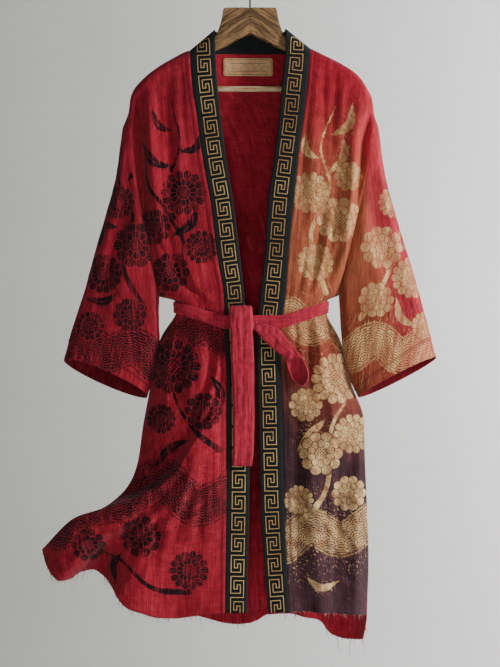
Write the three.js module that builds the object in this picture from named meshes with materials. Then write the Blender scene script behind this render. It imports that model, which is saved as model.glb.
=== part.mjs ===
// An open robe with wide sleeves, a patterned collar band and a tied belt, on a wooden hanger.
// Millimetres. +X is the viewer's right, -Y the robe's front, +Z up.
// The origin is the inner crown of the hanger's hook, where a rail carries it.
// "out" is a distance from the middle plane, "down" one below the origin, and
// "depth" one forward of the plane of the hanger, or behind it on the back.
import * as THREE from 'three';

const CLOTH = 2;
const BELT_CLOTH = 3;
const LEATHER = 1.2;
const SEAM = 0.3;
const BELT_EASE = 0.3;
const SHOULDER_ROLL = 15;
const ARMHOLE_ANGLES = [0, 3, 7, 13, 22, 36, 52, 70, 88, 106, 124, 141, 156, 168, 180];
const HANGER_HALF = 8.5;
const BAR_RADIUS = 6;
const BAR_DOWN = 242;
const BAR_HALF_LENGTH = 197.1;
const WIRE_RADIUS = 1.75;
const HOOK_INNER_RADIUS = 20;
const LABEL_EASE = 0.6;

// Rows count down a panel: 0 is the shoulder, 1 the underarm, 2 and 3 the belt's edges.
const SHOULDER_REACH = 0.7;
const HEM_REACH = 3.5;
const LAST_SIDE_SEAM_ROW = 6;

// Shares of a panel's width over which its folds fade at the band and at the side.
const BAND_FADE = 0.12;
const SIDE_FADE = 0.04;

const { clamp, lerp, degToRad } = THREE.MathUtils;
const vector = (x, y, z) => new THREE.Vector3(x, y, z);

const table = (columns, rows) => {
  const names = columns.split(' ');
  return rows.map((row) => Object.fromEntries(names.map((name, i) => [name, row[i]])));
};

// The collar band: its seam to the front panel, and its free edge along the opening.
const RIGHT_SEAM = table('down out', [
  [166, 120], [227, 116], [300, 105], [384, 94], [464, 79], [576, 65],
  [660, 52], [726, 50], [824, 46], [984, 46], [1281, 49]]);
const RIGHT_FREE = table('down out', [
  [124, 70], [168, 69], [244, 64], [302, 58], [384, 47], [464, 34], [576, 20],
  [660, 11], [726, 8], [824, 3], [984, 1], [1281, 6]]);
const LEFT_SEAM = table('down out', [
  [162, 120], [233, 114], [294, 107], [384, 95], [464, 87], [564, 77],
  [664, 69], [734, 60], [864, 63], [1064, 67], [1184, 72], [1281, 77]]);
const LEFT_FREE = table('down out', [
  [122, 71], [166, 71], [233, 64], [294, 59], [384, 48], [464, 36], [564, 30],
  [664, 19], [734, 13], [864, 16], [1064, 21], [1184, 28], [1281, 36]]);

// The shoulder's outline, from the collar to the top of the sleeve's seam.
const RIGHT_SHOULDER = table('out down', [
  [120, 166], [159, 184], [194, 206], [218, 227], [231, 243], [238, 259], [242, 288], [254, 320]]);
const LEFT_SHOULDER = table('out down', [
  [120, 162], [150, 176], [187, 195], [214, 214], [230, 235], [244, 264], [248, 294], [256, 318]]);

// How far the body stands from the hanger's plane, by the drop below the shoulder.
const BODY_DEPTH = table('drop depth', [
  [0, 0], [60, 7], [130, 13], [220, 20], [300, 25], [410, 29], [489, 29], [600, 29]]);

// Front panels below the arm. "turn" is 1 for a flat edge and 0.5 for one that rounds to the side.
const RIGHT_FRONT = table('seamDown sideOut sideDown midDepth sideDepth turn', [
  [655, 180, 657, 44, 0, 0.6],
  [694, 149, 667, 44, 0, 0.5],
  [723, 148, 690, 44, 0, 0.5],
  [790, 181, 746, 50, -20, 0.6],
  [860, 199, 835, 54, -18, 0.6],
  [940, 213, 915, 56, 4, 0.6],
  [1030, 224, 990, 58, 10, 0.8],
  [1110, 243, 1035, 60, 20, 1],
  [1170, 285, 1072, 62, 40, 1],
  [1230, 345, 1094, 62, 48, 1],
  [1281, 413, 1160, 62, 20, 1]]);
const LEFT_FRONT = table('seamDown sideOut sideDown midDepth sideDepth turn', [
  [655, 176, 655, 44, 0, 0.6],
  [694, 154, 666, 44, 0, 0.5],
  [723, 153, 691, 44, 0, 0.5],
  [790, 182, 748, 48, -20, 0.6],
  [864, 203, 832, 52, -18, 0.6],
  [940, 227, 905, 54, 3, 0.6],
  [1020, 229, 985, 55, 6, 0.7],
  [1100, 233, 1080, 56, 8, 0.7],
  [1190, 236, 1185, 58, 10, 0.7],
  [1281, 232, 1290, 60, 10, 0.7]]);
const RIGHT_HEM = table('out down depth', [
  [49, 1281, 62], [112, 1287, 66], [145, 1292, 60], [178, 1290, 72], [215, 1278, 86],
  [240, 1268, 92], [259, 1250, 80], [272, 1230, 54], [291, 1212, 24], [314, 1201, 8],
  [335, 1204, 22], [355, 1216, 46], [374, 1218, 62], [397, 1197, 50], [413, 1160, 20]]);
const LEFT_HEM = table('out down depth', [
  [77, 1281, 60], [105, 1279, 50], [140, 1282, 62], [175, 1284, 44], [205, 1288, 40],
  [232, 1290, 10]]);

// Back panel below the arm, half by half, from the middle to the side.
const BACK_RIGHT = table('seamDown sideOut sideDown midDepth sideDepth turn', [
  [648, 180, 657, 42, 0, 0.6],
  [664, 149, 667, 42, 0, 0.5],
  [690, 148, 690, 42, 0, 0.5],
  [746, 181, 746, 48, 20, 0.7],
  [835, 199, 835, 54, 18, 0.7],
  [920, 212, 920, 56, 6, 0.6],
  [1010, 220, 1010, 58, 10, 0.7],
  [1110, 224, 1105, 60, 12, 0.7],
  [1210, 218, 1195, 62, 14, 0.7],
  [1319, 204, 1270, 62, 16, 0.7]]);
const BACK_LEFT = table('seamDown sideOut sideDown midDepth sideDepth turn', [
  [648, 176, 655, 42, 0, 0.6],
  [664, 154, 666, 42, 0, 0.5],
  [690, 153, 691, 42, 0, 0.5],
  [746, 182, 748, 48, 20, 0.7],
  [835, 203, 832, 54, 18, 0.7],
  [920, 226, 920, 56, 4, 0.6],
  [1010, 229, 1010, 58, 8, 0.7],
  [1110, 233, 1110, 60, 10, 0.7],
  [1210, 236, 1210, 62, 12, 0.7],
  [1319, 234, 1305, 62, 12, 0.7]]);
const BACK_RIGHT_HEM = table('out down depth', [
  [0, 1319, 62], [25, 1322, 68], [52, 1318, 58], [82, 1311, 66], [112, 1302, 56],
  [150, 1292, 62], [180, 1284, 46], [204, 1270, 16]]);
const BACK_LEFT_HEM = table('out down depth', [
  [0, 1319, 62], [18, 1312, 66], [36, 1301, 58], [80, 1300, 64], [110, 1306, 54],
  [140, 1313, 62], [165, 1340, 56], [198, 1349, 48], [226, 1346, 26], [234, 1305, 12]]);

// The neck seam of the back panel and the collar's free edge behind the neck.
const NECK_SEAM = table('out down depth', [
  [0, 174, 30], [50, 174, 27], [85, 174, 23], [106, 173, 19], [116, 171, 14], [119, 168, 7], [120, 166, 0]]);
const NECK_FREE = table('out down depth', [
  [0, 129, 25], [34, 129, 23], [56, 128, 19.5], [64, 127, 17], [68, 126, 13], [70, 125, 7], [70, 124, 0]]);

// Sleeves, from the armhole to the cuff. "bow" is how far the cuff's front rises and its back sags.
const RIGHT_SLEEVE = table('along topOut topDown lowOut lowDown depth bow', [
  [0, 254, 320, 181.5, 657, 30, 0],
  [0.2, 267.5, 415, 182.5, 698, 35, 0],
  [0.4, 292, 506, 181, 739, 36, 0],
  [0.6, 318, 600, 187, 779, 35, 2],
  [0.8, 345, 692, 194, 818, 33, 7],
  [1, 372, 784, 204, 858, 32, 15]]);
const LEFT_SLEEVE = table('along topOut topDown lowOut lowDown depth bow', [
  [0, 256, 318, 178, 655, 30, 0],
  [0.2, 270, 412, 181, 698, 35, 0],
  [0.4, 294.5, 505, 183, 740, 35, 0],
  [0.6, 321.7, 596, 188.5, 781, 34, 1],
  [0.8, 347.7, 687, 200, 822, 32, 4],
  [1, 373, 779, 218, 858, 28, 9]]);

// Folds: a line of [out, down] points, how far the cloth goes in (a ridge is negative), and the width.
const fold = (inward, width, ...line) => ({ inward, width, line });
const RIGHT_FRONT_FOLDS = [
  fold(13, 15, [222, 262], [213, 384], [212, 464], [204, 560], [186, 640]),
  fold(9, 11, [200, 480], [173, 560], [126, 640], [92, 676]),
  fold(-7, 13, [150, 240], [140, 400], [132, 540]),
  fold(7, 14, [168, 200], [160, 330], [150, 440]),
  fold(-6, 10, [70, 664], [110, 655], [150, 646]),
  fold(5, 12, [118, 712], [132, 790], [140, 860]),
  fold(-8, 14, [92, 712], [96, 800], [90, 880]),
  fold(9, 12, [124, 1000], [180, 1060], [230, 1100]),
  fold(8, 12, [98, 1012], [130, 1080], [150, 1150])];
const LEFT_FRONT_FOLDS = [
  fold(-17, 15, [226, 262], [214, 344], [209, 464], [192, 560], [176, 620]),
  fold(10, 12, [192, 542], [170, 580], [145, 655]),
  fold(9, 10, [148, 466], [138, 540], [120, 655]),
  fold(-6, 12, [128, 220], [126, 400], [118, 560]),
  fold(-6, 10, [80, 664], [120, 655], [150, 646]),
  fold(8, 10, [114, 706], [115, 760], [116, 860]),
  fold(-7, 14, [136, 712], [160, 860], [168, 960]),
  fold(9, 14, [92, 850], [90, 1050], [96, 1240]),
  fold(8, 16, [196, 900], [190, 1080], [176, 1260])];
const BACK_FOLDS = [
  fold(8, 16, [40, 320], [36, 480], [30, 600]),
  fold(-7, 16, [96, 300], [92, 460], [84, 600]),
  fold(10, 16, [204, 340], [196, 480], [176, 600]),
  fold(10, 14, [48, 720], [66, 900], [78, 1250]),
  fold(-8, 16, [92, 720], [118, 900], [140, 1250]),
  fold(9, 14, [120, 730], [166, 920], [182, 1200])];

// The blown front: a crest that runs from the band to the side, forward of the cloth above it.
const CREST = table('out down rise', [
  [54, 824, 4], [69, 884, 12], [90, 922, 20], [112, 950, 28], [145, 1003, 36], [182, 1036, 42],
  [222, 1056, 42], [264, 1069, 34], [334, 1086, 14]]);
const CREST_STEEP = 16;
const CREST_GENTLE = 130;

const RIGHT = {
  way: -1, seam: RIGHT_SEAM, free: RIGHT_FREE, shoulder: RIGHT_SHOULDER,
  front: RIGHT_FRONT, hem: RIGHT_HEM, frontFolds: RIGHT_FRONT_FOLDS, crest: CREST,
  back: BACK_RIGHT, backHem: BACK_RIGHT_HEM, sleeve: RIGHT_SLEEVE,
};
const LEFT = {
  way: 1, seam: LEFT_SEAM, free: LEFT_FREE, shoulder: LEFT_SHOULDER,
  front: LEFT_FRONT, hem: LEFT_HEM, frontFolds: LEFT_FRONT_FOLDS, crest: null,
  back: BACK_LEFT, backHem: BACK_LEFT_HEM, sleeve: LEFT_SLEEVE,
};

// Reads a table's column between its rows, smoothly and without overshoot.
function read(rows, by, name, at) {
  const last = rows.length - 1;
  let i = 0;
  while (i < last - 1 && rows[i + 1][by] < at) i += 1;
  const slope = (k) => (rows[k + 1][name] - rows[k][name]) / (rows[k + 1][by] - rows[k][by]);
  const tangent = (k) => {
    if (k === 0) return slope(0);
    if (k === last) return slope(last - 1);
    const before = slope(k - 1);
    const after = slope(k);
    return before * after <= 0 ? 0 : (2 * before * after) / (before + after);
  };
  const span = rows[i + 1][by] - rows[i][by];
  const q = clamp((at - rows[i][by]) / span, 0, 1);
  const rise = rows[i + 1][name] - rows[i][name];
  const ease = q * q * (3 - 2 * q);
  return rows[i][name] + rise * ease
    + span * (tangent(i) * q * (1 - q) ** 2 - tangent(i + 1) * q * q * (1 - q));
}

// Adds to each row its share of the line's length.
function measured(rows) {
  let length = 0;
  const lengths = rows.map((row, i) => {
    if (i > 0) length += Math.hypot(row.out - rows[i - 1].out, row.down - rows[i - 1].down);
    return length;
  });
  return rows.map((row, i) => ({ ...row, share: lengths[i] / length }));
}

// How near a point of a panel is to a line of points, and how far along the line that is.
function nearest(line, out, down) {
  let best = { distance: Infinity, along: 0, below: 0 };
  line.forEach((start, i) => {
    if (i === line.length - 1) return;
    const [dx, dy] = [line[i + 1][0] - start[0], line[i + 1][1] - start[1]];
    const q = clamp(((out - start[0]) * dx + (down - start[1]) * dy) / (dx * dx + dy * dy), 0, 1);
    const [gapX, gapY] = [out - start[0] - q * dx, down - start[1] - q * dy];
    const distance = Math.hypot(gapX, gapY);
    if (distance < best.distance) {
      best = { distance, along: (i + q) / (line.length - 1), below: Math.sign(dx * gapY - dy * gapX) };
    }
  });
  return best;
}

function foldsInward(folds, out, down) {
  return folds.reduce((sum, { inward, width, line }) => {
    const { distance, along } = nearest(line, out, down);
    const fade = Math.sqrt(Math.sin(Math.PI * clamp(along, 0.02, 0.98)));
    return sum + inward * fade * Math.exp(-((distance / width) ** 2));
  }, 0);
}

function crestRise(crest, out, down) {
  if (!crest) return 0;
  const line = crest.map((row) => [row.out, row.down]);
  const rises = crest.map((row, i) => ({ at: i / (crest.length - 1), rise: row.rise }));
  const { distance, along, below } = nearest(line, out, down);
  const rise = read(rises, 'at', 'rise', along);
  return below > 0 ? rise * Math.exp(-((distance / CREST_GENTLE) ** 2))
    : rise * Math.exp(-((distance / CREST_STEEP) ** 2));
}

const bodyDepth = (drop) => {
  const rest = clamp(1 - drop / SHOULDER_ROLL, 0, 1);
  return SHOULDER_ROLL * Math.sqrt(1 - rest * rest) + read(BODY_DEPTH, 'drop', 'depth', drop);
};

// A panel's edge at the side: the armhole for rows 0 to 1, and below it the panel's own table.
function sideEdge(side, rows, row) {
  if (row <= 1) {
    const top = side.shoulder[side.shoulder.length - 1];
    const arc = 2 * Math.sqrt(row * (1 - row));
    return {
      out: lerp(top.out, rows[0].sideOut, row), down: lerp(top.down, rows[0].sideDown, row),
      depth: side.sleeve[0].depth * arc, turn: 1 + row * (rows[0].turn - 1),
    };
  }
  const numbered = rows.map((entry, i) => ({ ...entry, row: i + 1 }));
  const at = (name) => read(numbered, 'row', name, row);
  return { out: at('sideOut'), down: at('sideDown'), depth: at('sideDepth'), turn: at('turn') };
}

// A panel's edge at the collar seam, or at the middle of the back.
function innerEdge(rows, row, topDown, outAt) {
  if (row <= 1) {
    const down = lerp(topDown, rows[0].seamDown, row);
    return { out: outAt(down), down, depth: bodyDepth(down - topDown) };
  }
  const numbered = rows.map((entry, i) => ({ ...entry, row: i + 1 }));
  const down = read(numbered, 'row', 'seamDown', row);
  return { out: outAt(down), down, depth: read(numbered, 'row', 'midDepth', row) };
}

const acrossEdges = (inner, side, across) => ({
  out: lerp(inner.out, side.out, across),
  down: lerp(inner.down, side.down, across),
  depth: side.depth + (inner.depth - side.depth) * (1 - across ** 3) ** side.turn,
});

// Shared by the panels: the straight rows are bent to the shoulder's outline and to the hem's.
function panelPoint(side, rows, across, row, innerAt, topLine, hemLine) {
  const point = acrossEdges(innerAt(row), sideEdge(side, rows, row), across);
  const bend = (line, edgeRow, share) => {
    const straight = acrossEdges(innerAt(edgeRow), sideEdge(side, rows, edgeRow), across);
    for (const name of ['out', 'down', 'depth']) {
      point[name] += share * (read(line, 'share', name, across) - straight[name]);
    }
  };
  const topShare = clamp(1 - row / SHOULDER_REACH, 0, 1) ** 1.6;
  const hemShare = clamp((row - rows.length + HEM_REACH) / HEM_REACH, 0, 1) ** 2;
  if (topShare > 0) bend(topLine, 0, topShare);
  if (hemShare > 0) bend(hemLine, rows.length, hemShare);
  return point;
}

function frontPoint(side, across, row) {
  const seamOut = (down) => read(side.seam, 'down', 'out', down);
  const innerAt = (at) => innerEdge(side.front, at, side.seam[0].down, seamOut);
  const topLine = measured(side.shoulder).map((entry) => ({ ...entry, depth: 0 }));
  const point = panelPoint(side, side.front, across, row, innerAt, topLine, measured(side.hem));
  const fromBand = clamp(across / BAND_FADE, 0, 1);
  const inside = fromBand * clamp((1 - across) / SIDE_FADE, 0, 1) * clamp(row / 0.1, 0, 1);
  const lift = crestRise(side.crest, point.out, point.down) * fromBand;
  const depth = point.depth + lift - inside * foldsInward(side.frontFolds, point.out, point.down);
  return vector(side.way * point.out, -depth, -point.down);
}

// The outline of the back's top: the neck seam, then the shoulder.
function backTopLine(side) {
  const neck = NECK_SEAM.map((entry) => ({ ...entry, depth: 0 }));
  neck[neck.length - 1].down = side.shoulder[0].down;
  const shoulder = side.shoulder.slice(1).map((entry) => ({ ...entry, depth: 0 }));
  return measured([...neck, ...shoulder]);
}
const collarShare = (side) => backTopLine(side)[NECK_SEAM.length - 1].share;

function backPoint(side, across, row) {
  const innerAt = (at) => innerEdge(side.back, at, NECK_SEAM[0].down, () => 0);
  const point = panelPoint(side, side.back, across, row, innerAt, backTopLine(side), measured(side.backHem));
  const neck = point.out < NECK_SEAM.at(-1).out ? read(NECK_SEAM, 'out', 'depth', point.out) : 0;
  const behindNeck = row < 1 ? neck * Math.max(0, 1 - point.depth / side.back[0].midDepth) ** 2 : 0;
  const inside = clamp((1 - across) / SIDE_FADE, 0, 1) * clamp(row / 0.1, 0, 1);
  const depth = point.depth + behindNeck - inside * foldsInward(BACK_FOLDS, point.out, point.down);
  return vector(side.way * point.out, depth, -point.down);
}

function sleevePoint(side, around, along) {
  const at = (name) => read(side.sleeve, 'along', name, along);
  const [cosine, sine] = [Math.cos(around), Math.sin(around)];
  const out = lerp(at('topOut'), at('lowOut'), (1 - cosine) / 2);
  const down = lerp(at('topDown'), at('lowDown'), (1 - cosine) / 2);
  const bow = at('bow') * sine;
  const soft = 1 + 0.1 * Math.sin(3 * around + 1.5) * Math.sin(Math.PI * along);
  return vector(side.way * (out - 0.4 * bow), -at('depth') * sine * soft, -(down - 0.9 * bow));
}

function bandPoint(side, across, row) {
  const seamOut = (down) => read(side.seam, 'down', 'out', down);
  const seam = innerEdge(side.front, row, side.seam[0].down, seamOut);
  const rise = (side.seam[0].down - side.free[0].down) * clamp(1 - row / 0.3, 0, 1) ** 1.5;
  const freeDown = seam.down - rise;
  const freeOut = read(side.free, 'down', 'out', freeDown);
  return vector(side.way * lerp(seam.out, freeOut, across), -seam.depth, -lerp(seam.down, freeDown, across));
}

// Shared directions at the seams, so that the walls of two pieces end in parallel faces.
const unit = (x, y, z) => vector(x, y, z).normalize();
const shoulderNormal = (side, across) => {
  const line = measured(side.shoulder);
  const [before, after] = [clamp(across - 0.02, 0, 1), clamp(across + 0.02, 0, 1)];
  const run = read(line, 'share', 'out', after) - read(line, 'share', 'out', before);
  const fall = read(line, 'share', 'down', after) - read(line, 'share', 'down', before);
  return unit(side.way * fall, 0, run);
};
const seamNormal = (side, row) => {
  const drop = row * (side.front[0].seamDown - side.seam[0].down);
  const lean = clamp(1 - drop / SHOULDER_ROLL, 0, 1);
  const forward = vector(0, -Math.sqrt(1 - lean * lean), 0);
  return shoulderNormal(side, 0).multiplyScalar(lean).add(forward).normalize();
};
const armholeNormal = (side, around) => {
  const [cosine, sine] = [Math.cos(around), Math.sin(around)];
  const [upper, lower] = [Math.max(cosine, 0), Math.max(-cosine, 0)];
  return unit(side.way * (0.25 * Math.abs(sine) + 0.94 * upper), -sine, 0.35 * upper - lower);
};
const armholeOut = (side, around) => {
  const [upper, lower] = [Math.max(Math.cos(around), 0), Math.max(-Math.cos(around), 0)];
  const sine = Math.abs(Math.sin(around));
  return unit(side.way * (sine + 0.35 * upper + lower), 0, -0.2 * sine - 0.94 * upper);
};
const sleeveSeamNormal = (side, along, atTop) => {
  const around = atTop ? 0 : Math.PI;
  const before = sleevePoint(side, around, Math.max(along - 0.02, 0));
  const run = sleevePoint(side, around, Math.min(along + 0.02, 1)).sub(before);
  return unit(-side.way * run.z, 0, side.way * run.x).multiplyScalar(atTop ? 1 : -1);
};
const sideNormal = (side, rows, row) => {
  const above = sideEdge(side, rows, Math.max(row - 0.05, 1));
  const below = sideEdge(side, rows, row + 0.05);
  return unit(side.way * (below.down - above.down), 0, below.out - above.out);
};

// A closed body from vertices and triangles, which are turned to face out.
function body(points, triangles) {
  const signed = ([a, b, c]) => points[a].dot(points[b].clone().cross(points[c]));
  const volume = triangles.reduce((sum, triangle) => sum + signed(triangle), 0);
  const outward = volume > 0 ? triangles : triangles.map(([a, b, c]) => [a, c, b]);
  const geometry = new THREE.BufferGeometry();
  const numbers = points.flatMap((point) => [point.x, point.y, point.z]);
  geometry.setAttribute('position', new THREE.Float32BufferAttribute(numbers, 3));
  geometry.setIndex(outward.flat());
  geometry.computeVertexNormals();
  return geometry;
}

// The directions across a grid of points, and "facing" tells which of its sides is the outside.
function gridNormals(grid, facing, ring) {
  const [rows, columns] = [grid.length, grid[0].length];
  return grid.map((line, r) => line.map((point, c) => {
    const up = grid[Math.max(r - 1, 0)][c];
    const low = grid[Math.min(r + 1, rows - 1)][c];
    const before = ring ? line[(c + columns - 1) % columns] : line[Math.max(c - 1, 0)];
    const after = ring ? line[(c + 1) % columns] : line[Math.min(c + 1, columns - 1)];
    const normal = after.clone().sub(before).cross(low.clone().sub(up));
    return normal.multiplyScalar(facing).normalize();
  }));
}

// A wall of even thickness on a grid of points, a ring of them if its columns close on themselves.
function wall(grid, facing, thickness, { ring = false, normalAt = () => null } = {}) {
  const [rows, columns] = [grid.length, grid[0].length];
  const natural = gridNormals(grid, facing, ring);
  const points = [];
  for (const half of [thickness / 2, -thickness / 2]) {
    grid.forEach((line, r) => line.forEach((point, c) => {
      points.push(point.clone().addScaledVector(normalAt(r, c) ?? natural[r][c], half));
    }));
  }
  const inner = rows * columns;
  const id = (r, c) => r * columns + (c % columns);
  const triangles = [];
  const face = (a, b, c, d) => triangles.push([a, b, c], [a, c, d]);
  const spans = ring ? columns : columns - 1;
  for (let r = 0; r < rows - 1; r += 1) {
    for (let c = 0; c < spans; c += 1) {
      face(id(r, c), id(r + 1, c), id(r + 1, c + 1), id(r, c + 1));
      face(inner + id(r, c), inner + id(r, c + 1), inner + id(r + 1, c + 1), inner + id(r + 1, c));
    }
    if (!ring) {
      face(id(r, 0), inner + id(r, 0), inner + id(r + 1, 0), id(r + 1, 0));
      const [here, next] = [id(r, columns - 1), id(r + 1, columns - 1)];
      face(here, next, inner + next, inner + here);
    }
  }
  for (let c = 0; c < spans; c += 1) {
    face(id(0, c), id(0, c + 1), inner + id(0, c + 1), inner + id(0, c));
    face(id(rows - 1, c), inner + id(rows - 1, c), inner + id(rows - 1, c + 1), id(rows - 1, c + 1));
  }
  return body(points, triangles);
}

// A solid through rings of points, closed at both ends.
function loft(rings) {
  const count = rings[0].length;
  const points = rings.flat();
  const triangles = [];
  for (let r = 0; r < rings.length - 1; r += 1) {
    for (let c = 0; c < count; c += 1) {
      const [a, b] = [r * count + c, r * count + ((c + 1) % count)];
      triangles.push([a, b, b + count], [a, b + count, a + count]);
    }
  }
  for (const [ring, flip] of [[0, false], [rings.length - 1, true]]) {
    const centre = rings[ring].reduce((sum, p) => sum.add(p), vector(0, 0, 0)).divideScalar(count);
    points.push(centre);
    for (let c = 0; c < count; c += 1) {
      const [a, b] = [ring * count + c, ring * count + ((c + 1) % count)];
      triangles.push(flip ? [points.length - 1, a, b] : [points.length - 1, b, a]);
    }
  }
  return body(points, triangles);
}

// Rows of a panel: the armhole's share one set of heights with the sleeve.
const armholeRows = ARMHOLE_ANGLES.map((angle) => (1 - Math.cos(degToRad(angle))) / 2);
const panelRows = (rows, perRow) => {
  const below = Array.from({ length: (rows.length - 1) * perRow }, (_, i) => 1 + (i + 1) / perRow);
  return [...armholeRows, ...below];
};
const FRONT_COLUMNS = {
  right: [0, 0.07, 0.14, 0.21, 0.29, 0.37, 0.45, 0.53, 0.61, 0.69, 0.77, 0.84, 0.9, 0.95, 0.985, 1],
  left: [0, 0.08, 0.17, 0.26, 0.35, 0.44, 0.53, 0.62, 0.71, 0.79, 0.86, 0.92, 0.96, 0.985, 1],
};
const NECK_SHARES = [0, 0.3, 0.6, 0.8, 0.93, 1];
const backColumns = (side) => [
  ...NECK_SHARES.map((share) => share * collarShare(side)),
  ...[0.2, 0.4, 0.58, 0.74, 0.87, 0.96, 1].map((share) => lerp(collarShare(side), 1, share))];

// Where a panel's side edge lies on its neighbour, it stops half a seam short of it.
function trimSide(point, side, row, index, towardFront) {
  if (row <= 1) point.addScaledVector(armholeOut(side, degToRad(ARMHOLE_ANGLES[index])), -SEAM / 2);
  point.y += towardFront ? -SEAM / 2 : SEAM / 2;
  return point;
}

function frontPanel(side, columns) {
  const rows = panelRows(side.front, 2);
  const last = columns.length - 1;
  const grid = rows.map((row, r) => columns.map((across, c) => {
    const point = frontPoint(side, across, row);
    if (c === 0) point.x += side.way * SEAM / 2;
    if (c === last) trimSide(point, side, row, r, true);
    if (r === 0 && c < last) point.y -= SEAM / 2;
    return point;
  }));
  const normalAt = (r, c) => {
    if (r === 0) return shoulderNormal(side, columns[c]);
    if (c === 0) return seamNormal(side, rows[r]);
    if (c < last) return null;
    if (rows[r] <= 1) return armholeNormal(side, degToRad(ARMHOLE_ANGLES[r]));
    return rows[r] <= LAST_SIDE_SEAM_ROW ? sideNormal(side, side.front, rows[r]) : null;
  };
  return wall(grid, -side.way, CLOTH, { normalAt });
}

function backPanel() {
  const rows = panelRows(RIGHT.back, 2);
  const columns = [
    ...backColumns(RIGHT).slice(1).reverse().map((across) => ({ side: RIGHT, across })),
    ...backColumns(LEFT).map((across) => ({ side: LEFT, across }))];
  const last = columns.length - 1;
  const grid = rows.map((row, r) => columns.map(({ side, across }, c) => {
    const point = backPoint(side, across, row);
    if (c === 0 || c === last) trimSide(point, side, row, r, false);
    else if (r === 0 && across >= collarShare(side)) point.y += SEAM / 2;
    else if (r === 0) point.z -= SEAM / 2;
    return point;
  }));
  const normalAt = (r, c) => {
    const { side } = columns[c];
    if (r === 0) return topNormal(side, columns[c].across);
    if (c > 0 && c < last) return null;
    if (rows[r] <= 1) {
      const normal = armholeNormal(side, degToRad(ARMHOLE_ANGLES[r]));
      return normal.set(normal.x, -normal.y, normal.z);
    }
    return rows[r] <= LAST_SIDE_SEAM_ROW ? sideNormal(side, side.back, rows[r]) : null;
  };
  return wall(grid, 1, CLOTH, { normalAt });
}

// Straight back at the middle of the neck, and square to the shoulder's outline from the collar out.
function topNormal(side, across) {
  const share = collarShare(side);
  if (across >= share) return shoulderNormal(side, (across - share) / (1 - share));
  const lean = clamp((across / share - 0.8) / 0.2, 0, 1);
  const backward = vector(0, Math.sqrt(1 - lean * lean), 0);
  return shoulderNormal(side, 0).multiplyScalar(lean).add(backward).normalize();
}

// One half of a sleeve, its front (facing 1) or its back (-1), between its seams at the top and below.
function sleeveHalf(side, facing) {
  const stations = [0, 0.08, 0.18, 0.3, 0.42, 0.54, 0.66, 0.78, 0.9, 1];
  const last = ARMHOLE_ANGLES.length - 1;
  const angleAt = (c) => degToRad(facing > 0 ? ARMHOLE_ANGLES[c] : 360 - ARMHOLE_ANGLES[c]);
  const grid = stations.map((along, r) => ARMHOLE_ANGLES.map((angle, c) => {
    const point = sleevePoint(side, angleAt(c), along);
    if (r === 0) point.addScaledVector(armholeOut(side, degToRad(angle)), SEAM / 2);
    if (c === 0 || c === last) point.y -= facing * SEAM / 2;
    return point;
  }));
  const normalAt = (r, c) => {
    if (r === 0) return armholeNormal(side, angleAt(c));
    return c === 0 || c === last ? sleeveSeamNormal(side, stations[r], c === 0) : null;
  };
  return wall(grid, facing * side.way, CLOTH, { normalAt });
}

function collarFront(side) {
  const rows = panelRows(side.front, 2);
  const columns = [0, 0.5, 1];
  const grid = rows.map((row, r) => columns.map((across, c) => {
    const point = bandPoint(side, across, row);
    if (c === 0) point.x -= side.way * SEAM / 2;
    if (r === 0) point.y -= SEAM / 2;
    return point;
  }));
  return wall(grid, side.way, CLOTH, { normalAt: (r) => seamNormal(side, rows[r]) });
}

function collarBackNeck() {
  const stations = [
    ...NECK_SHARES.slice(1).reverse().map((share) => ({ side: RIGHT, share })),
    ...NECK_SHARES.map((share) => ({ side: LEFT, share }))];
  const free = measured(NECK_FREE);
  const grid = [0, 0.5, 1].map((across, r) => stations.map(({ side, share }) => {
    const seam = backPoint(side, share * collarShare(side), 0);
    const freeAt = (name) => read(free, 'share', name, share);
    const edge = vector(side.way * freeAt('out'), freeAt('depth'), -freeAt('down'));
    if (share === 1) edge.z = -side.free[0].down;
    const point = seam.lerp(edge, across);
    if (share === 1) point.y += SEAM / 2;
    else if (r === 0) point.z += SEAM / 2;
    return point;
  }));
  const normalAt = (r, c) => {
    const { side, share } = stations[c];
    return topNormal(side, share * collarShare(side));
  };
  return wall(grid, -1, CLOTH, { normalAt });
}

// The cloth's outline at the belt, seen from above, counted from the middle of the back.
function waistLoop(level) {
  const row = 2 + level;
  const frontHalf = (side, columns) => (
    columns.slice(1).reverse().map((across) => frontPoint(side, across, row)));
  const bandHalf = (side) => [bandPoint(side, 0.1, row), bandPoint(side, 0.95, row)];
  const backHalf = (side) => (
    backColumns(side).slice(0, -1).map((across) => backPoint(side, across, row)));
  return [
    ...backHalf(RIGHT), ...frontHalf(RIGHT, FRONT_COLUMNS.right), ...bandHalf(RIGHT),
    ...bandHalf(LEFT).reverse(), ...frontHalf(LEFT, FRONT_COLUMNS.left).reverse(),
    ...backHalf(LEFT).slice(1).reverse()];
}

function beltLoop() {
  const moved = CLOTH / 2 + SEAM + BELT_EASE + BELT_CLOTH / 2;
  const grid = [0.04, 0.5, 0.96].map((level) => {
    const loop = waistLoop(level);
    return loop.map((point, i) => {
      const before = loop[(i + loop.length - 1) % loop.length];
      const after = loop[(i + 1) % loop.length];
      const outward = unit(-(after.y - before.y), after.x - before.x, 0);
      return point.clone().addScaledVector(outward, -moved);
    });
  });
  return wall(grid, -1, BELT_CLOTH, { ring: true });
}

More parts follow.
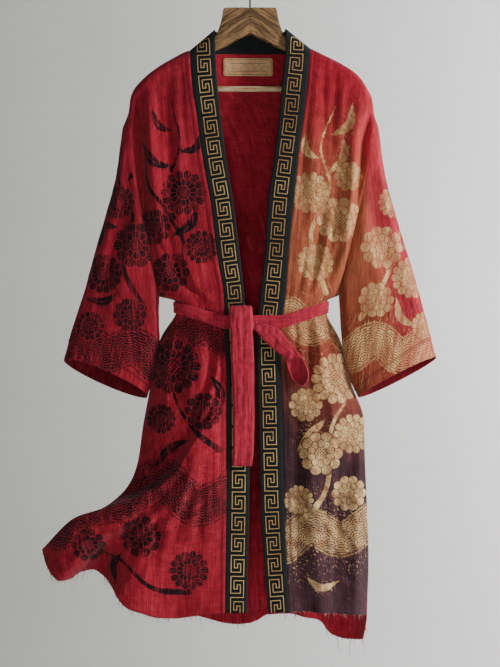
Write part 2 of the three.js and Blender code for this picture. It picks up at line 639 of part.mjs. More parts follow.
// The wrap of the belt's knot, and the two ends that hang from it.
const BELT_FRONT = RIGHT_FRONT[1].midDepth + CLOTH / 2 + SEAM + BELT_EASE + BELT_CLOTH;
const KNOT_BACK = BELT_FRONT + SEAM;
const KNOT = table('down left right front', [
  [679, -38, 0, 56], [681, -41, 3, 62], [688, -42, 4, 69], [700, -41, 4, 73],
  [714, -40, 5, 72], [726, -39, 5, 66], [731, -37, 4, 60]]);
const TAIL_LONG = table('down left right depth', [
  [731.5, -39, 5, 60], [745, -38, 5.5, 63], [766, -37, 6, 63], [800, -35.5, 7, 62], [840, -34, 7.5, 62.5],
  [880, -32.5, 8, 63], [920, -32, 7.5, 63.5], [960, -33, 6.5, 64], [992, -35, 3, 65]]);
const TAIL_SHORT = table('x1 down1 depth1 x2 down2 depth2', [
  [5.4, 717, 57, 44, 719, 53], [20, 734, 58, 62, 728, 56], [40, 754, 60, 76, 745, 60],
  [58, 768, 62, 88, 760, 63], [73, 777, 63, 101, 776, 65], [75, 798, 60, 108, 792, 68],
  [80, 818, 58, 113, 808, 70], [90, 829, 58, 113, 821, 72], [101, 833, 62, 108, 830, 70]]);

function beltKnot() {
  const rings = KNOT.map(({ down, left, right, front }) => {
    const [middle, half] = [(left + right) / 2, (right - left) / 2];
    return Array.from({ length: 20 }, (_, i) => {
      const angle = (i / 20) * Math.PI * 2;
      const [c, s] = [Math.cos(angle), Math.sin(angle)];
      const x = middle + half * Math.sign(c) * Math.abs(c) ** 0.5;
      const swell = Math.sign(s) * Math.abs(s) ** 0.6;
      return vector(x, -lerp(KNOT_BACK, front, (1 + swell) / 2), -down);
    });
  });
  return loft(rings);
}

function beltTailLong() {
  const grid = TAIL_LONG.map(({ down, left, right, depth }) => [0, 0.25, 0.5, 0.75, 1].map((across) => (
    vector(lerp(left, right, across), -depth - 1.5 * Math.sin(across * Math.PI), -down))));
  return wall(grid, 1, BELT_CLOTH);
}

function beltTailShort() {
  const grid = TAIL_SHORT.map((row) => [0, 0.33, 0.67, 1].map((across) => {
    const at = (name) => lerp(row[`${name}1`], row[`${name}2`], across);
    return vector(at('x'), -at('depth'), -at('down'));
  }));
  return wall(grid, 1, BELT_CLOTH);
}

// The leather patch inside the back neck.
const LABEL = { left: -54, right: 46, top: 181, bottom: 217 };

// The point of the back panel at a place, found from its neighbours by small steps.
function onBack(x, down) {
  const side = x < 0 ? RIGHT : LEFT;
  const step = 0.001;
  let [across, row] = [Math.abs(x) / 250, 0.05];
  for (let pass = 0; pass < 20; pass += 1) {
    const point = backPoint(side, across, row);
    const [byAcross, byRow] = [backPoint(side, across + step, row), backPoint(side, across, row + step)];
    const [a, b] = [(byAcross.x - point.x) / step, (byRow.x - point.x) / step];
    const [c, d] = [(byAcross.z - point.z) / step, (byRow.z - point.z) / step];
    const [missX, missZ] = [x - point.x, -down - point.z];
    const area = a * d - b * c;
    across = clamp(across + (d * missX - b * missZ) / area, 0, 0.9);
    row = clamp(row + (a * missZ - c * missX) / area, 0.001, 1);
  }
  return backPoint(side, across, row);
}

function label() {
  const inward = CLOTH / 2 + SEAM + LEATHER / 2 + LABEL_EASE;
  const corner = 5;
  const grid = [0, 0.14, 0.38, 0.62, 0.86, 1].map((low) => {
    const inset = low === 0 || low === 1 ? corner : 0;
    return [0, 0.1, 0.3, 0.5, 0.7, 0.9, 1].map((across) => {
      const x = lerp(LABEL.left + inset, LABEL.right - inset, across);
      const point = onBack(x, lerp(LABEL.top, LABEL.bottom, low));
      return point.add(vector(0, -inward, 0));
    });
  });
  return wall(grid, -1, LEATHER);
}

// The hanger: a flared block with two arms that carry the shoulders. Half of it, from the middle out.
const HANGER = table('out top bottom half corner', [
  [0, 80, 131, 12, 2], [26, 80, 144, 12, 2], [53, 80, 158, 11.5, 2], [54, 88, 158.5, 11.5, 2],
  [56, 100, 159.5, 11, 2.5], [59, 112, 161, 10.5, 3], [63, 124, 163, 10, 4], [68, 133, 165.5, 9.5, 5],
  [76, 139, 169, 9, 7], [96, 150, 179, HANGER_HALF, 8], [116, 167.5, 188, HANGER_HALF, 8],
  [159, 186.2, 209, HANGER_HALF, 8], [190, 206, 224, HANGER_HALF, 8], [197.4, 212, 228, HANGER_HALF, 7.5],
  [197.6, 212.4, 250, HANGER_HALF, 7.5], [208, 221, 252, HANGER_HALF, 7.5], [215, 230, 251, 7, 6.5],
  [219, 237, 248, 4, 3.5]]);
const CORNER_POINTS = 4;

function hangerBody() {
  const stations = [...HANGER.slice(1).reverse().map((row) => ({ ...row, out: -row.out })), ...HANGER];
  const rings = stations.map(({ out, top, bottom, half, corner }) => (
    Array.from({ length: 4 * CORNER_POINTS }, (_, i) => {
      const quarter = Math.floor(i / CORNER_POINTS);
      const angle = (quarter + (i % CORNER_POINTS) / (CORNER_POINTS - 1)) * Math.PI / 2;
      const inY = (half - corner) * (quarter === 0 || quarter === 3 ? 1 : -1);
      const inZ = quarter < 2 ? -top - corner : -bottom + corner;
      return vector(out, inY + corner * Math.cos(angle), inZ + corner * Math.sin(angle));
    })));
  return loft(rings);
}

function hangerBar() {
  const bar = new THREE.CylinderGeometry(BAR_RADIUS, BAR_RADIUS, 2 * BAR_HALF_LENGTH, 16, 1);
  return bar.rotateZ(Math.PI / 2).translate(0, 0, -BAR_DOWN);
}

// The wire hook: up from the block, round to one side and over the crown.
function hook() {
  const radius = HOOK_INNER_RADIUS + WIRE_RADIUS;
  const centre = -HOOK_INNER_RADIUS;
  const arc = Array.from({ length: 13 }, (_, i) => {
    const angle = degToRad(lerp(-20, 185, i / 12));
    return vector(radius * Math.cos(angle), 0, centre + radius * Math.sin(angle));
  });
  const path = new THREE.CatmullRomCurve3([
    vector(0, 0, -79.7), vector(0, 0, -70), vector(0.4, 0, -60), vector(7, 0, -48), vector(16, 0, -36),
    ...arc, vector(-22.5, 0, -29), vector(-24, 0, -34)], false, 'centripetal');
  const section = new THREE.Shape().absarc(0, 0, WIRE_RADIUS, 0, Math.PI * 2);
  return new THREE.ExtrudeGeometry(section, { steps: 32, extrudePath: path, curveSegments: 4 });
}

const material = (color, roughness, metalness = 0) => (
  new THREE.MeshStandardMaterial({ color, roughness, metalness }));
const RED = material(0xa51e32, 0.85);
const OMBRE = material(0xb45a46, 0.85);
const CHARCOAL = material(0x1c2022, 0.8);
const BELT_RED = material(0xb02a42, 0.85);
const TAN = material(0xc8a27a, 0.6);
const WOOD = material(0x8a6a45, 0.7);
const STEEL = material(0x55565a, 0.35, 1);

const robe = new THREE.Group();
const add = (name, geometry, finish) => {
  const mesh = new THREE.Mesh(geometry, finish);
  mesh.name = name;
  robe.add(mesh);
};

add('back', backPanel(), RED);
add('front_right', frontPanel(RIGHT, FRONT_COLUMNS.right), RED);
add('front_left', frontPanel(LEFT, FRONT_COLUMNS.left), OMBRE);
add('sleeve_right_front', sleeveHalf(RIGHT, 1), RED);
add('sleeve_right_back', sleeveHalf(RIGHT, -1), RED);
add('sleeve_left_front', sleeveHalf(LEFT, 1), OMBRE);
add('sleeve_left_back', sleeveHalf(LEFT, -1), OMBRE);
add('collar_right_front', collarFront(RIGHT), CHARCOAL);
add('collar_left_front', collarFront(LEFT), CHARCOAL);
add('collar_back_neck', collarBackNeck(), CHARCOAL);
add('belt_loop', beltLoop(), BELT_RED);
add('belt_knot', beltKnot(), BELT_RED);
add('belt_tail_long', beltTailLong(), BELT_RED);
add('belt_tail_short', beltTailShort(), BELT_RED);
add('label', label(), TAN);
add('hanger_body', hangerBody(), WOOD);
add('hanger_bar', hangerBar(), WOOD);
add('hook', hook(), STEEL);

export default robe;
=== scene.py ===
"""An open robe with wide sleeves, a meander collar band and a tied belt, on a wooden hanger.

Sizes in the tables are millimetres. "out" is a distance from the middle plane, "down" one below
the hook's crown, and "depth" one forward of the hanger's plane, or behind it on the back.
Right and left are the wearer's: the right side is on the viewer's left.
"""
import math
from types import SimpleNamespace

import bmesh
import bpy
import numpy as np
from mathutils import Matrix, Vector, noise


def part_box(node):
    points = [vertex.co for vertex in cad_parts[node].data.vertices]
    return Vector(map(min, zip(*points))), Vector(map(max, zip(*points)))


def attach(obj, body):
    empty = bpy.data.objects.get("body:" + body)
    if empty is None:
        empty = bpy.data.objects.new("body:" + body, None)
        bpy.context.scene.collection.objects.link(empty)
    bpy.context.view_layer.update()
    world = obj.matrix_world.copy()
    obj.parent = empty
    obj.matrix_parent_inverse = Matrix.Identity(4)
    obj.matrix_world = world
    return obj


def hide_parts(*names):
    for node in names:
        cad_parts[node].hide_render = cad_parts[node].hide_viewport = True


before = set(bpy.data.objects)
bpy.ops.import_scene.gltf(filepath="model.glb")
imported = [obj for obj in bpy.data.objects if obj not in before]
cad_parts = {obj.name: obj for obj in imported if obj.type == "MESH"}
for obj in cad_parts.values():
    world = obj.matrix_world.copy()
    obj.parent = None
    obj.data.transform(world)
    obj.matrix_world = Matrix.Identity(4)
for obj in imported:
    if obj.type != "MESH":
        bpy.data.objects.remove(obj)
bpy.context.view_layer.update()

bl_info = {
    "name": "Robe on a Hanger",
    "version": (1, 0, 0),
    "blender": (4, 5, 0),
    "location": "3D View > Sidebar > Robe",
    "description": "Builds a linen robe on a wooden hanger around its packed frame",
    "category": "Object",
}

MM = 0.001
BODY = "root"


def table(columns, *rows):
    """A short table, as one array for each named column."""
    return dict(zip(columns.split(), np.array(rows, dtype=float).T))


# The collar band's seam to the front panel, and its free edge along the opening
RIGHT_SEAM = table(
    "down out", (166, 120), (227, 116), (300, 105), (384, 94), (464, 79), (576, 65),
    (660, 52), (726, 50), (824, 46), (984, 46), (1281, 49))
RIGHT_FREE = table(
    "down out", (124, 70), (168, 69), (244, 64), (302, 58), (384, 47), (464, 34), (576, 20),
    (660, 11), (726, 8), (824, 3), (984, 1), (1281, 6))
LEFT_SEAM = table(
    "down out", (162, 120), (233, 114), (294, 107), (384, 95), (464, 87), (564, 77),
    (664, 69), (734, 60), (864, 63), (1064, 67), (1184, 72), (1281, 77))
LEFT_FREE = table(
    "down out", (122, 71), (166, 71), (233, 64), (294, 59), (384, 48), (464, 36), (564, 30),
    (664, 19), (734, 13), (864, 16), (1064, 21), (1184, 28), (1281, 36))

# The shoulder's outline, from the collar to the top of the sleeve's seam
RIGHT_SHOULDER = table(
    "out down", (120, 166), (159, 184), (194, 206), (218, 227), (231, 243), (238, 259),
    (242, 288), (254, 320))
LEFT_SHOULDER = table(
    "out down", (120, 162), (150, 176), (187, 195), (214, 214), (230, 235), (244, 264),
    (248, 294), (256, 318))

# How far the body stands from the hanger's plane, by the drop below the shoulder
BODY_DEPTH = table(
    "drop depth", (0, 0), (60, 7), (130, 13), (220, 20), (300, 25), (410, 29), (489, 29), (600, 29))
SHOULDER_ROLL = 15

# Panels below the arm, "turn" is 1 for a flat edge and 0.5 for one that rounds to the side
PANEL = "row seam_down side_out side_down mid_depth side_depth turn"
RIGHT_FRONT = table(
    PANEL,
    (1, 655, 180, 657, 44, 0, 0.6), (2, 694, 149, 667, 44, 0, 0.5), (3, 723, 148, 690, 44, 0, 0.5),
    (4, 790, 181, 746, 50, -20, 0.6), (5, 860, 199, 835, 54, -18, 0.6), (6, 940, 213, 915, 56, 4, 0.6),
    (7, 1030, 224, 990, 58, 10, 0.8), (8, 1110, 243, 1035, 60, 20, 1), (9, 1170, 285, 1072, 62, 40, 1),
    (10, 1230, 345, 1094, 62, 48, 1), (11, 1281, 413, 1160, 62, 20, 1))
LEFT_FRONT = table(
    PANEL,
    (1, 655, 176, 655, 44, 0, 0.6), (2, 694, 154, 666, 44, 0, 0.5), (3, 723, 153, 691, 44, 0, 0.5),
    (4, 790, 182, 748, 48, -20, 0.6), (5, 864, 203, 832, 52, -18, 0.6), (6, 940, 227, 905, 54, 3, 0.6),
    (7, 1020, 229, 985, 55, 6, 0.7), (8, 1100, 233, 1080, 56, 8, 0.7),
    (9, 1190, 236, 1185, 58, 10, 0.7), (10, 1281, 232, 1290, 60, 10, 0.7))
BACK_RIGHT = table(
    PANEL,
    (1, 648, 180, 657, 42, 0, 0.6), (2, 664, 149, 667, 42, 0, 0.5), (3, 690, 148, 690, 42, 0, 0.5),
    (4, 746, 181, 746, 48, 20, 0.7), (5, 835, 199, 835, 54, 18, 0.7), (6, 920, 212, 920, 56, 6, 0.6),
    (7, 1010, 220, 1010, 58, 10, 0.7), (8, 1110, 224, 1105, 60, 12, 0.7),
    (9, 1210, 218, 1195, 62, 14, 0.7), (10, 1319, 204, 1270, 62, 16, 0.7))
BACK_LEFT = table(
    PANEL,
    (1, 648, 176, 655, 42, 0, 0.6), (2, 664, 154, 666, 42, 0, 0.5), (3, 690, 153, 691, 42, 0, 0.5),
    (4, 746, 182, 748, 48, 20, 0.7), (5, 835, 203, 832, 54, 18, 0.7), (6, 920, 226, 920, 56, 4, 0.6),
    (7, 1010, 229, 1010, 58, 8, 0.7), (8, 1110, 233, 1110, 60, 10, 0.7),
    (9, 1210, 236, 1210, 62, 12, 0.7), (10, 1319, 234, 1305, 62, 12, 0.7))

# The hems, from the band or the middle of the back to the side
RIGHT_HEM = table(
    "out down depth", (49, 1281, 62), (112, 1287, 66), (145, 1292, 60), (178, 1290, 72),
    (215, 1278, 86), (240, 1268, 92), (259, 1250, 80), (272, 1230, 54), (291, 1212, 24),
    (314, 1201, 8), (335, 1204, 22), (355, 1216, 46), (374, 1218, 62), (397, 1197, 50),
    (413, 1160, 20))
LEFT_HEM = table(
    "out down depth", (77, 1281, 60), (105, 1279, 50), (140, 1282, 62), (175, 1284, 44),
    (205, 1288, 40), (232, 1290, 10))
BACK_RIGHT_HEM = table(
    "out down depth", (0, 1319, 62), (25, 1322, 68), (52, 1318, 58), (82, 1311, 66),
    (112, 1302, 56), (150, 1292, 62), (180, 1284, 46), (204, 1270, 16))
BACK_LEFT_HEM = table(
    "out down depth", (0, 1319, 62), (18, 1312, 66), (36, 1301, 58), (80, 1300, 64),
    (110, 1306, 54), (140, 1313, 62), (165, 1340, 56), (198, 1349, 48), (226, 1346, 26),
    (234, 1305, 12))

# The neck seam of the back panel and the collar's free edge behind the neck
NECK_SEAM = table(
    "out down depth", (0, 169, 30), (50, 169, 27), (85, 169, 23), (106, 169, 19), (116, 168.5, 14),
    (119, 167.5, 7), (120, 166, 0))
NECK_FREE = table(
    "out down depth", (0, 129, 25), (34, 129, 23), (56, 128, 19.5), (64, 127, 17), (68, 126, 13),
    (70, 125, 7), (70, 124, 0))

# Sleeves from the armhole to the cuff, "bow" is how far the cuff's front rises and its back sags
SLEEVE = "along top_out top_down low_out low_down depth bow"
RIGHT_SLEEVE = table(
    SLEEVE,
    (0, 254, 320, 181.5, 657, 30, 0), (0.2, 267.5, 415, 182.5, 698, 35, 0),
    (0.4, 292, 506, 181, 739, 36, 0), (0.6, 318, 600, 187, 779, 35, 2),
    (0.8, 345, 692, 194, 818, 33, 7), (1, 372, 784, 204, 858, 32, 15))
LEFT_SLEEVE = table(
    SLEEVE,
    (0, 256, 318, 178, 655, 30, 0), (0.2, 270, 412, 181, 698, 35, 0),
    (0.4, 294.5, 505, 183, 740, 35, 0), (0.6, 321.7, 596, 188.5, 781, 34, 1),
    (0.8, 347.7, 687, 200, 822, 32, 4), (1, 373, 779, 218, 858, 28, 9))


def fold(inward, width, *line):
    """A fold along a line of (out, down) points. A negative depth is a ridge."""
    return SimpleNamespace(inward=inward, width=width, line=line)


# The large folds, as in the solids, and after them the small creases
RIGHT_FRONT_FOLDS = (
    fold(18, 10, (226, 240), (222, 330), (218, 400), (213, 470), (204, 560), (186, 640)),
    fold(-8, 12, (196, 240), (194, 330), (192, 420), (184, 520), (166, 610)),
    fold(9, 11, (200, 480), (173, 560), (126, 640), (92, 676)),
    fold(-7, 13, (150, 240), (140, 400), (132, 540)),
    fold(7, 14, (168, 200), (160, 330), (150, 440)),
    fold(-6, 10, (70, 664), (110, 655), (150, 646)),
    fold(8, 12, (118, 712), (132, 790), (140, 860)),
    fold(-8, 14, (92, 712), (96, 800), (90, 880)),
    fold(9, 12, (124, 1000), (180, 1060), (230, 1100)),
    fold(8, 12, (98, 1012), (130, 1080), (150, 1150)),
    fold(4.2, 7, (186, 226), (180, 300), (184, 380)),
    fold(3.4, 6, (138, 200), (134, 280), (128, 360)),
    fold(-3.7, 7, (205, 236), (200, 330), (196, 420)),
    fold(4.1, 6, (176, 480), (150, 570), (112, 650)),
    fold(-4.2, 6, (188, 500), (160, 585), (118, 660)),
    fold(4.2, 6, (150, 610), (120, 640), (84, 668)),
    fold(4.2, 6, (78, 708), (82, 780), (76, 850)),
    fold(-4.2, 7, (106, 708), (114, 790), (122, 880)),
    fold(4.2, 6, (134, 706), (152, 770), (164, 850)),
    fold(-5.1, 9, (90, 1030), (112, 1110), (118, 1200)),
    fold(-5.1, 9, (150, 1050), (196, 1096), (244, 1150)),
    fold(5.1, 8, (168, 1110), (200, 1170), (228, 1230)),
    fold(5.1, 9, (262, 1100), (282, 1150), (286, 1205)),
    fold(-5.1, 10, (306, 1110), (328, 1150), (352, 1190)),
    fold(4.2, 7, (70, 920), (74, 1020), (70, 1140)),
    fold(-9, 8, (56, 742), (64, 800), (82, 866), (104, 920), (142, 968)),
    fold(9, 8, (66, 746), (80, 806), (100, 866), (124, 912)),
    fold(-6, 8, (104, 960), (120, 1020), (146, 1082), (174, 1120)),
    fold(7, 9, (84, 960), (92, 1040), (104, 1120), (124, 1190)),
    fold(-7, 9, (148, 730), (162, 800), (168, 870)),
    fold(8, 10, (186, 1080), (178, 1140), (196, 1220)),
    fold(8, 11, (290, 1120), (330, 1160), (370, 1180)),
    fold(-6, 9, (330, 1096), (352, 1130), (372, 1166)))
LEFT_FRONT_FOLDS = (
    fold(-19, 15, (222, 262), (208, 344), (203, 464), (188, 560), (172, 620)),
    fold(20, 7, (240, 290), (226, 350), (218, 420), (208, 490)),
    fold(10, 12, (192, 542), (170, 580), (145, 655)),
    fold(9, 10, (148, 466), (138, 540), (120, 655)),
    fold(-6, 12, (128, 220), (126, 400), (118, 560)),
    fold(-6, 10, (80, 664), (120, 655), (150, 646)),
    fold(10, 10, (114, 706), (115, 760), (116, 860)),
    fold(-7, 14, (136, 712), (160, 860), (168, 960)),
    fold(9, 14, (92, 850), (90, 1050), (96, 1240)),
    fold(8, 16, (196, 900), (190, 1080), (176, 1260)),
    fold(4.2, 6, (150, 190), (146, 260), (150, 340)),
    fold(3.7, 6, (172, 200), (166, 290), (160, 380)),
    fold(-3.7, 7, (186, 214), (182, 300), (176, 400)),
    fold(4.2, 6, (108, 300), (106, 380), (98, 470)),
    fold(5.1, 6, (172, 480), (160, 560), (136, 648)),
    fold(-5.1, 6, (160, 500), (150, 570), (128, 650)),
    fold(5.1, 6, (112, 560), (104, 610), (96, 655)),
    fold(5.1, 7, (90, 706), (92, 760), (88, 820)),
    fold(-5.1, 7, (132, 706), (140, 760), (142, 840)),
    fold(5.1, 7, (152, 704), (176, 770), (190, 850)),
    fold(-5.1, 10, (120, 900), (122, 1050), (128, 1200)),
    fold(5.1, 10, (146, 960), (150, 1100), (146, 1250)),
    fold(-5.1, 9, (216, 960), (212, 1100), (208, 1260)),
    fold(9, 7, (156, 700), (158, 760), (160, 850)),
    fold(-7, 8, (176, 716), (182, 780), (186, 850)),
    fold(8, 8, (176, 1000), (172, 1120), (166, 1240)))
BACK_FOLDS = (
    fold(8, 16, (40, 320), (36, 480), (30, 600)),
    fold(-7, 16, (96, 300), (92, 460), (84, 600)),
    fold(10, 16, (204, 340), (196, 480), (176, 600)),
    fold(10, 14, (48, 720), (66, 900), (78, 1250)),
    fold(-8, 16, (92, 720), (118, 900), (140, 1250)),
    fold(9, 14, (120, 730), (166, 920), (182, 1200)),
    fold(5.1, 7, (66, 520), (60, 600), (58, 655)),
    fold(-5.1, 7, (120, 500), (108, 590), (100, 655)),
    fold(5.1, 7, (146, 480), (132, 580), (124, 650)),
    fold(5.1, 7, (24, 706), (30, 790), (28, 880)),
    fold(-5.1, 7, (70, 706), (84, 790), (90, 860)),
    fold(5.1, 8, (140, 706), (160, 800), (178, 900)),
    fold(5.1, 9, (20, 900), (26, 1060), (40, 1240)),
    fold(-5.1, 9, (110, 960), (128, 1100), (140, 1280)))

# The blown front: a crest from the band to the side, forward of the cloth above it
CREST = table(
    "out down rise", (54, 824, 4), (69, 884, 12), (90, 922, 20), (112, 950, 28), (145, 1003, 36),
    (182, 1036, 42), (222, 1056, 42), (264, 1069, 34), (334, 1086, 14))
CREST_STEEP = 8
CREST_GENTLE = 130

RIGHT = SimpleNamespace(
    way=-1, seam=RIGHT_SEAM, free=RIGHT_FREE, shoulder=RIGHT_SHOULDER, front=RIGHT_FRONT,
    hem=RIGHT_HEM, folds=RIGHT_FRONT_FOLDS, crest=CREST, back=BACK_RIGHT, back_hem=BACK_RIGHT_HEM,
    sleeve=RIGHT_SLEEVE)
LEFT = SimpleNamespace(
    way=1, seam=LEFT_SEAM, free=LEFT_FREE, shoulder=LEFT_SHOULDER, front=LEFT_FRONT,
    hem=LEFT_HEM, folds=LEFT_FRONT_FOLDS, crest=None, back=BACK_LEFT, back_hem=BACK_LEFT_HEM,
    sleeve=LEFT_SLEEVE)


def lerp(a, b, share):
    return a + (b - a) * share


def share_of(value, low, high):
    """How far a value is from low to high, eased at both ends."""
    q = np.clip((value - low) / (high - low), 0, 1)
    return q * q * (3 - 2 * q)


def read(rows, by, name, at):
    """A table's column between its rows, smoothly and without overshoot."""
    x, y = rows[by], rows[name]
    step = np.diff(x)
    slope = np.diff(y) / step
    before, after = slope[:-1], slope[1:]
    both = np.where(before * after > 0, before + after, 1)
    tangent = np.concatenate((slope[:1], np.where(before * after > 0, 2 * before * after / both, 0),
                              slope[-1:]))
    i = np.clip(np.searchsorted(x, at, side="right") - 1, 0, len(x) - 2)
    q = np.clip((at - x[i]) / step[i], 0, 1)
    eased = y[i] + (y[i + 1] - y[i]) * q * q * (3 - 2 * q)
    return eased + step[i] * (tangent[i] * q * (1 - q) ** 2 - tangent[i + 1] * q * q * (1 - q))


def measured(rows, **extra):
    """Adds to each row its share of the line's length."""
    lengths = np.hypot(np.diff(rows["out"]), np.diff(rows["down"]))
    total = np.concatenate(([0], np.cumsum(lengths)))
    return {**rows, "share": total / total[-1], **extra}


def nearest(line, out, down):
    """The distance to a line of points, the share along it, and which side of it a point is."""
    best = np.full(np.shape(out), np.inf)
    along, below = np.zeros(np.shape(out)), np.zeros(np.shape(out))
    for i, (start, end) in enumerate(zip(line[:-1], line[1:])):
        dx, dy = end[0] - start[0], end[1] - start[1]
        q = np.clip(((out - start[0]) * dx + (down - start[1]) * dy) / (dx * dx + dy * dy), 0, 1)
        gap_x, gap_y = out - start[0] - q * dx, down - start[1] - q * dy
        distance = np.hypot(gap_x, gap_y)
        closer = distance < best
        best = np.where(closer, distance, best)
        along = np.where(closer, (i + q) / (len(line) - 1), along)
        below = np.where(closer, np.sign(dx * gap_y - dy * gap_x), below)
    return best, along, below


def folds_inward(folds, out, down):
    total = np.zeros(np.shape(out))
    for one in folds:
        distance, along, _ = nearest(one.line, out, down)
        fade = np.sqrt(np.sin(np.pi * np.clip(along, 0.02, 0.98)))
        total += one.inward * fade * np.exp(-(distance / one.width) ** 2)
    return total


def crest_rise(crest, out, down):
    if crest is None:
        return 0
    line = list(zip(crest["out"], crest["down"]))
    distance, along, below = nearest(line, out, down)
    rises = {"at": np.linspace(0, 1, len(line)), "rise": crest["rise"]}
    reach = np.where(below > 0, CREST_GENTLE, CREST_STEEP)
    return read(rises, "at", "rise", along) * np.exp(-(distance / reach) ** 2)


def body_depth(drop):
    rest = np.clip(1 - drop / SHOULDER_ROLL, 0, 1)
    return SHOULDER_ROLL * np.sqrt(1 - rest * rest) + read(BODY_DEPTH, "drop", "depth", drop)


def side_edge(side, rows, row):
    """A panel's edge at the side: the armhole for rows 0 to 1, and then the panel's own table."""
    early = row <= 1
    arc = 2 * np.sqrt(np.clip(row * (1 - row), 0, None))

    def either(first, name):
        return np.where(early, first, read(rows, "row", name, row))
    return {
        "out": either(lerp(side.shoulder["out"][-1], rows["side_out"][0], row), "side_out"),
        "down": either(lerp(side.shoulder["down"][-1], rows["side_down"][0], row), "side_down"),
        "depth": either(side.sleeve["depth"][0] * arc, "side_depth"),
        "turn": either(1 + row * (rows["turn"][0] - 1), "turn")}


def inner_edge(rows, row, top_down, out_at):
    """A panel's edge at the collar seam, or at the middle of the back."""
    early = row <= 1
    down = np.where(early, lerp(top_down, rows["seam_down"][0], row), read(rows, "row", "seam_down", row))
    depth = np.where(early, body_depth(down - top_down), read(rows, "row", "mid_depth", row))
    return {"out": out_at(down), "down": down, "depth": depth}


def across_edges(inner, side, across):
    turned = (1 - across ** 3) ** side["turn"]
    return {
        "out": lerp(inner["out"], side["out"], across),
        "down": lerp(inner["down"], side["down"], across),
        "depth": side["depth"] + (inner["depth"] - side["depth"]) * turned}


def panel_point(side, rows, across, row, inner_at, top_line, hem_line):
    """Straight rows between the two edges, bent to the shoulder's outline and to the hem's."""
    point = across_edges(inner_at(row), side_edge(side, rows, row), across)
    last = len(rows["row"])
    top_share = np.clip(1 - row / 0.7, 0, 1) ** 1.6
    hem_share = np.clip((row - last + 3.5) / 3.5, 0, 1) ** 2
    for line, edge_row, share in ((top_line, 0.0, top_share), (hem_line, float(last), hem_share)):
        edge = np.full(np.shape(row), edge_row)
        straight = across_edges(inner_at(edge), side_edge(side, rows, edge), across)
        for name in ("out", "down", "depth"):
            point[name] = point[name] + share * (read(line, "share", name, across) - straight[name])
    return point


def stacked(x, y, z):
    return np.stack(np.broadcast_arrays(x, y, z), axis=-1).astype(float)


def front_point(side, across, row):
    def inner_at(at):
        return inner_edge(side.front, at, side.seam["down"][0],
                          lambda down: read(side.seam, "down", "out", down))
    top_line = measured(side.shoulder, depth=np.zeros(len(side.shoulder["out"])))
    point = panel_point(side, side.front, across, row, inner_at, top_line, measured(side.hem))
    from_band = np.clip(across / 0.12, 0, 1)
    inside = from_band * np.clip((1 - across) / 0.04, 0, 1) * np.clip(row / 0.1, 0, 1)
    lift = crest_rise(side.crest, point["out"], point["down"]) * from_band
    depth = point["depth"] + lift - inside * folds_inward(side.folds, point["out"], point["down"])
    return stacked(side.way * point["out"], -depth, -point["down"])


def back_top_line(side):
    """The outline of the back's top: the neck seam, then the shoulder."""
    joined = {name: np.concatenate((NECK_SEAM[name], side.shoulder[name][1:])) for name in ("out", "down")}
    joined["down"][len(NECK_SEAM["out"]) - 1] = side.shoulder["down"][0]
    return measured(joined, depth=np.zeros(len(joined["out"])))


def collar_share(side):
    return back_top_line(side)["share"][len(NECK_SEAM["out"]) - 1]


def back_point(side, across, row):
    def inner_at(at):
        return inner_edge(side.back, at, NECK_SEAM["down"][0], lambda down: np.zeros(np.shape(down)))
    point = panel_point(side, side.back, across, row, inner_at, back_top_line(side),
                        measured(side.back_hem))
    neck = np.where(point["out"] < NECK_SEAM["out"][-1], read(NECK_SEAM, "out", "depth", point["out"]), 0)
    rest = np.clip(1 - point["depth"] / side.back["mid_depth"][0], 0, None)
    behind_neck = np.where(row < 1, neck * rest ** 2, 0)
    inside = np.clip((1 - across) / 0.04, 0, 1) * np.clip(row / 0.1, 0, 1)
    depth = point["depth"] + behind_neck - inside * folds_inward(BACK_FOLDS, point["out"], point["down"])
    return stacked(side.way * point["out"], depth, -point["down"])


def sleeve_point(side, around, along):
    def at(name):
        return read(side.sleeve, "along", name, along)
    cosine, sine = np.cos(around), np.sin(around)
    bow = at("bow") * sine
    soft = 1 + 0.1 * np.sin(3 * around + 1.5) * np.sin(np.pi * along)
    out = lerp(at("top_out"), at("low_out"), (1 - cosine) / 2) - 0.4 * bow
    down = lerp(at("top_down"), at("low_down"), (1 - cosine) / 2) - 0.9 * bow
    return stacked(side.way * out, -at("depth") * sine * soft, -down)


def band_point(side, across, row):
    seam = inner_edge(side.front, row, side.seam["down"][0],
                      lambda down: read(side.seam, "down", "out", down))
    rise = (side.seam["down"][0] - side.free["down"][0]) * np.clip(1 - row / 0.3, 0, 1) ** 1.5
    free_down = seam["down"] - rise
    free_out = read(side.free, "down", "out", free_down)
    return stacked(side.way * lerp(seam["out"], free_out, across), -seam["depth"],
                   -lerp(seam["down"], free_down, across))


# Rows and columns of the fine surfaces
ARM_ROWS = 96
ROWS_BELOW = 24


def panel_rows(rows):
    """Even steps round the armhole's curve, and even steps in the rows below it."""
    angles = np.linspace(0, np.pi, ARM_ROWS)
    below = np.linspace(1, len(rows["row"]), (len(rows["row"]) - 1) * ROWS_BELOW + 1)[1:]
    return np.concatenate(((1 - np.cos(angles)) / 2, below))


def toward_side(count):
    """Columns that close up towards the side, where the panel turns."""
    return 1 - (1 - np.linspace(0, 1, count)) ** 1.35


def grid_normals(points, ring):
    if ring:
        open_ring = points[:, :-1]
        along_row = np.roll(open_ring, -1, axis=1) - np.roll(open_ring, 1, axis=1)
        along_row = np.concatenate((along_row, along_row[:, :1]), axis=1)
    else:
        along_row = np.gradient(points, axis=1)
    normal = np.cross(along_row, -np.gradient(points, axis=0))
    return normal / np.maximum(np.linalg.norm(normal, axis=-1, keepdims=True), 1e-9)


def noise_on(points, scale, seed):
    """Smooth noise at each point, whose scale is its size in millimetres along X, Y and Z."""
    flat = (points / np.array(scale) + seed * 17.3).reshape(-1, 3)
    values = [noise.noise(Vector(one)) for one in flat.tolist()]
    return np.array(values).reshape(points.shape[:-1])


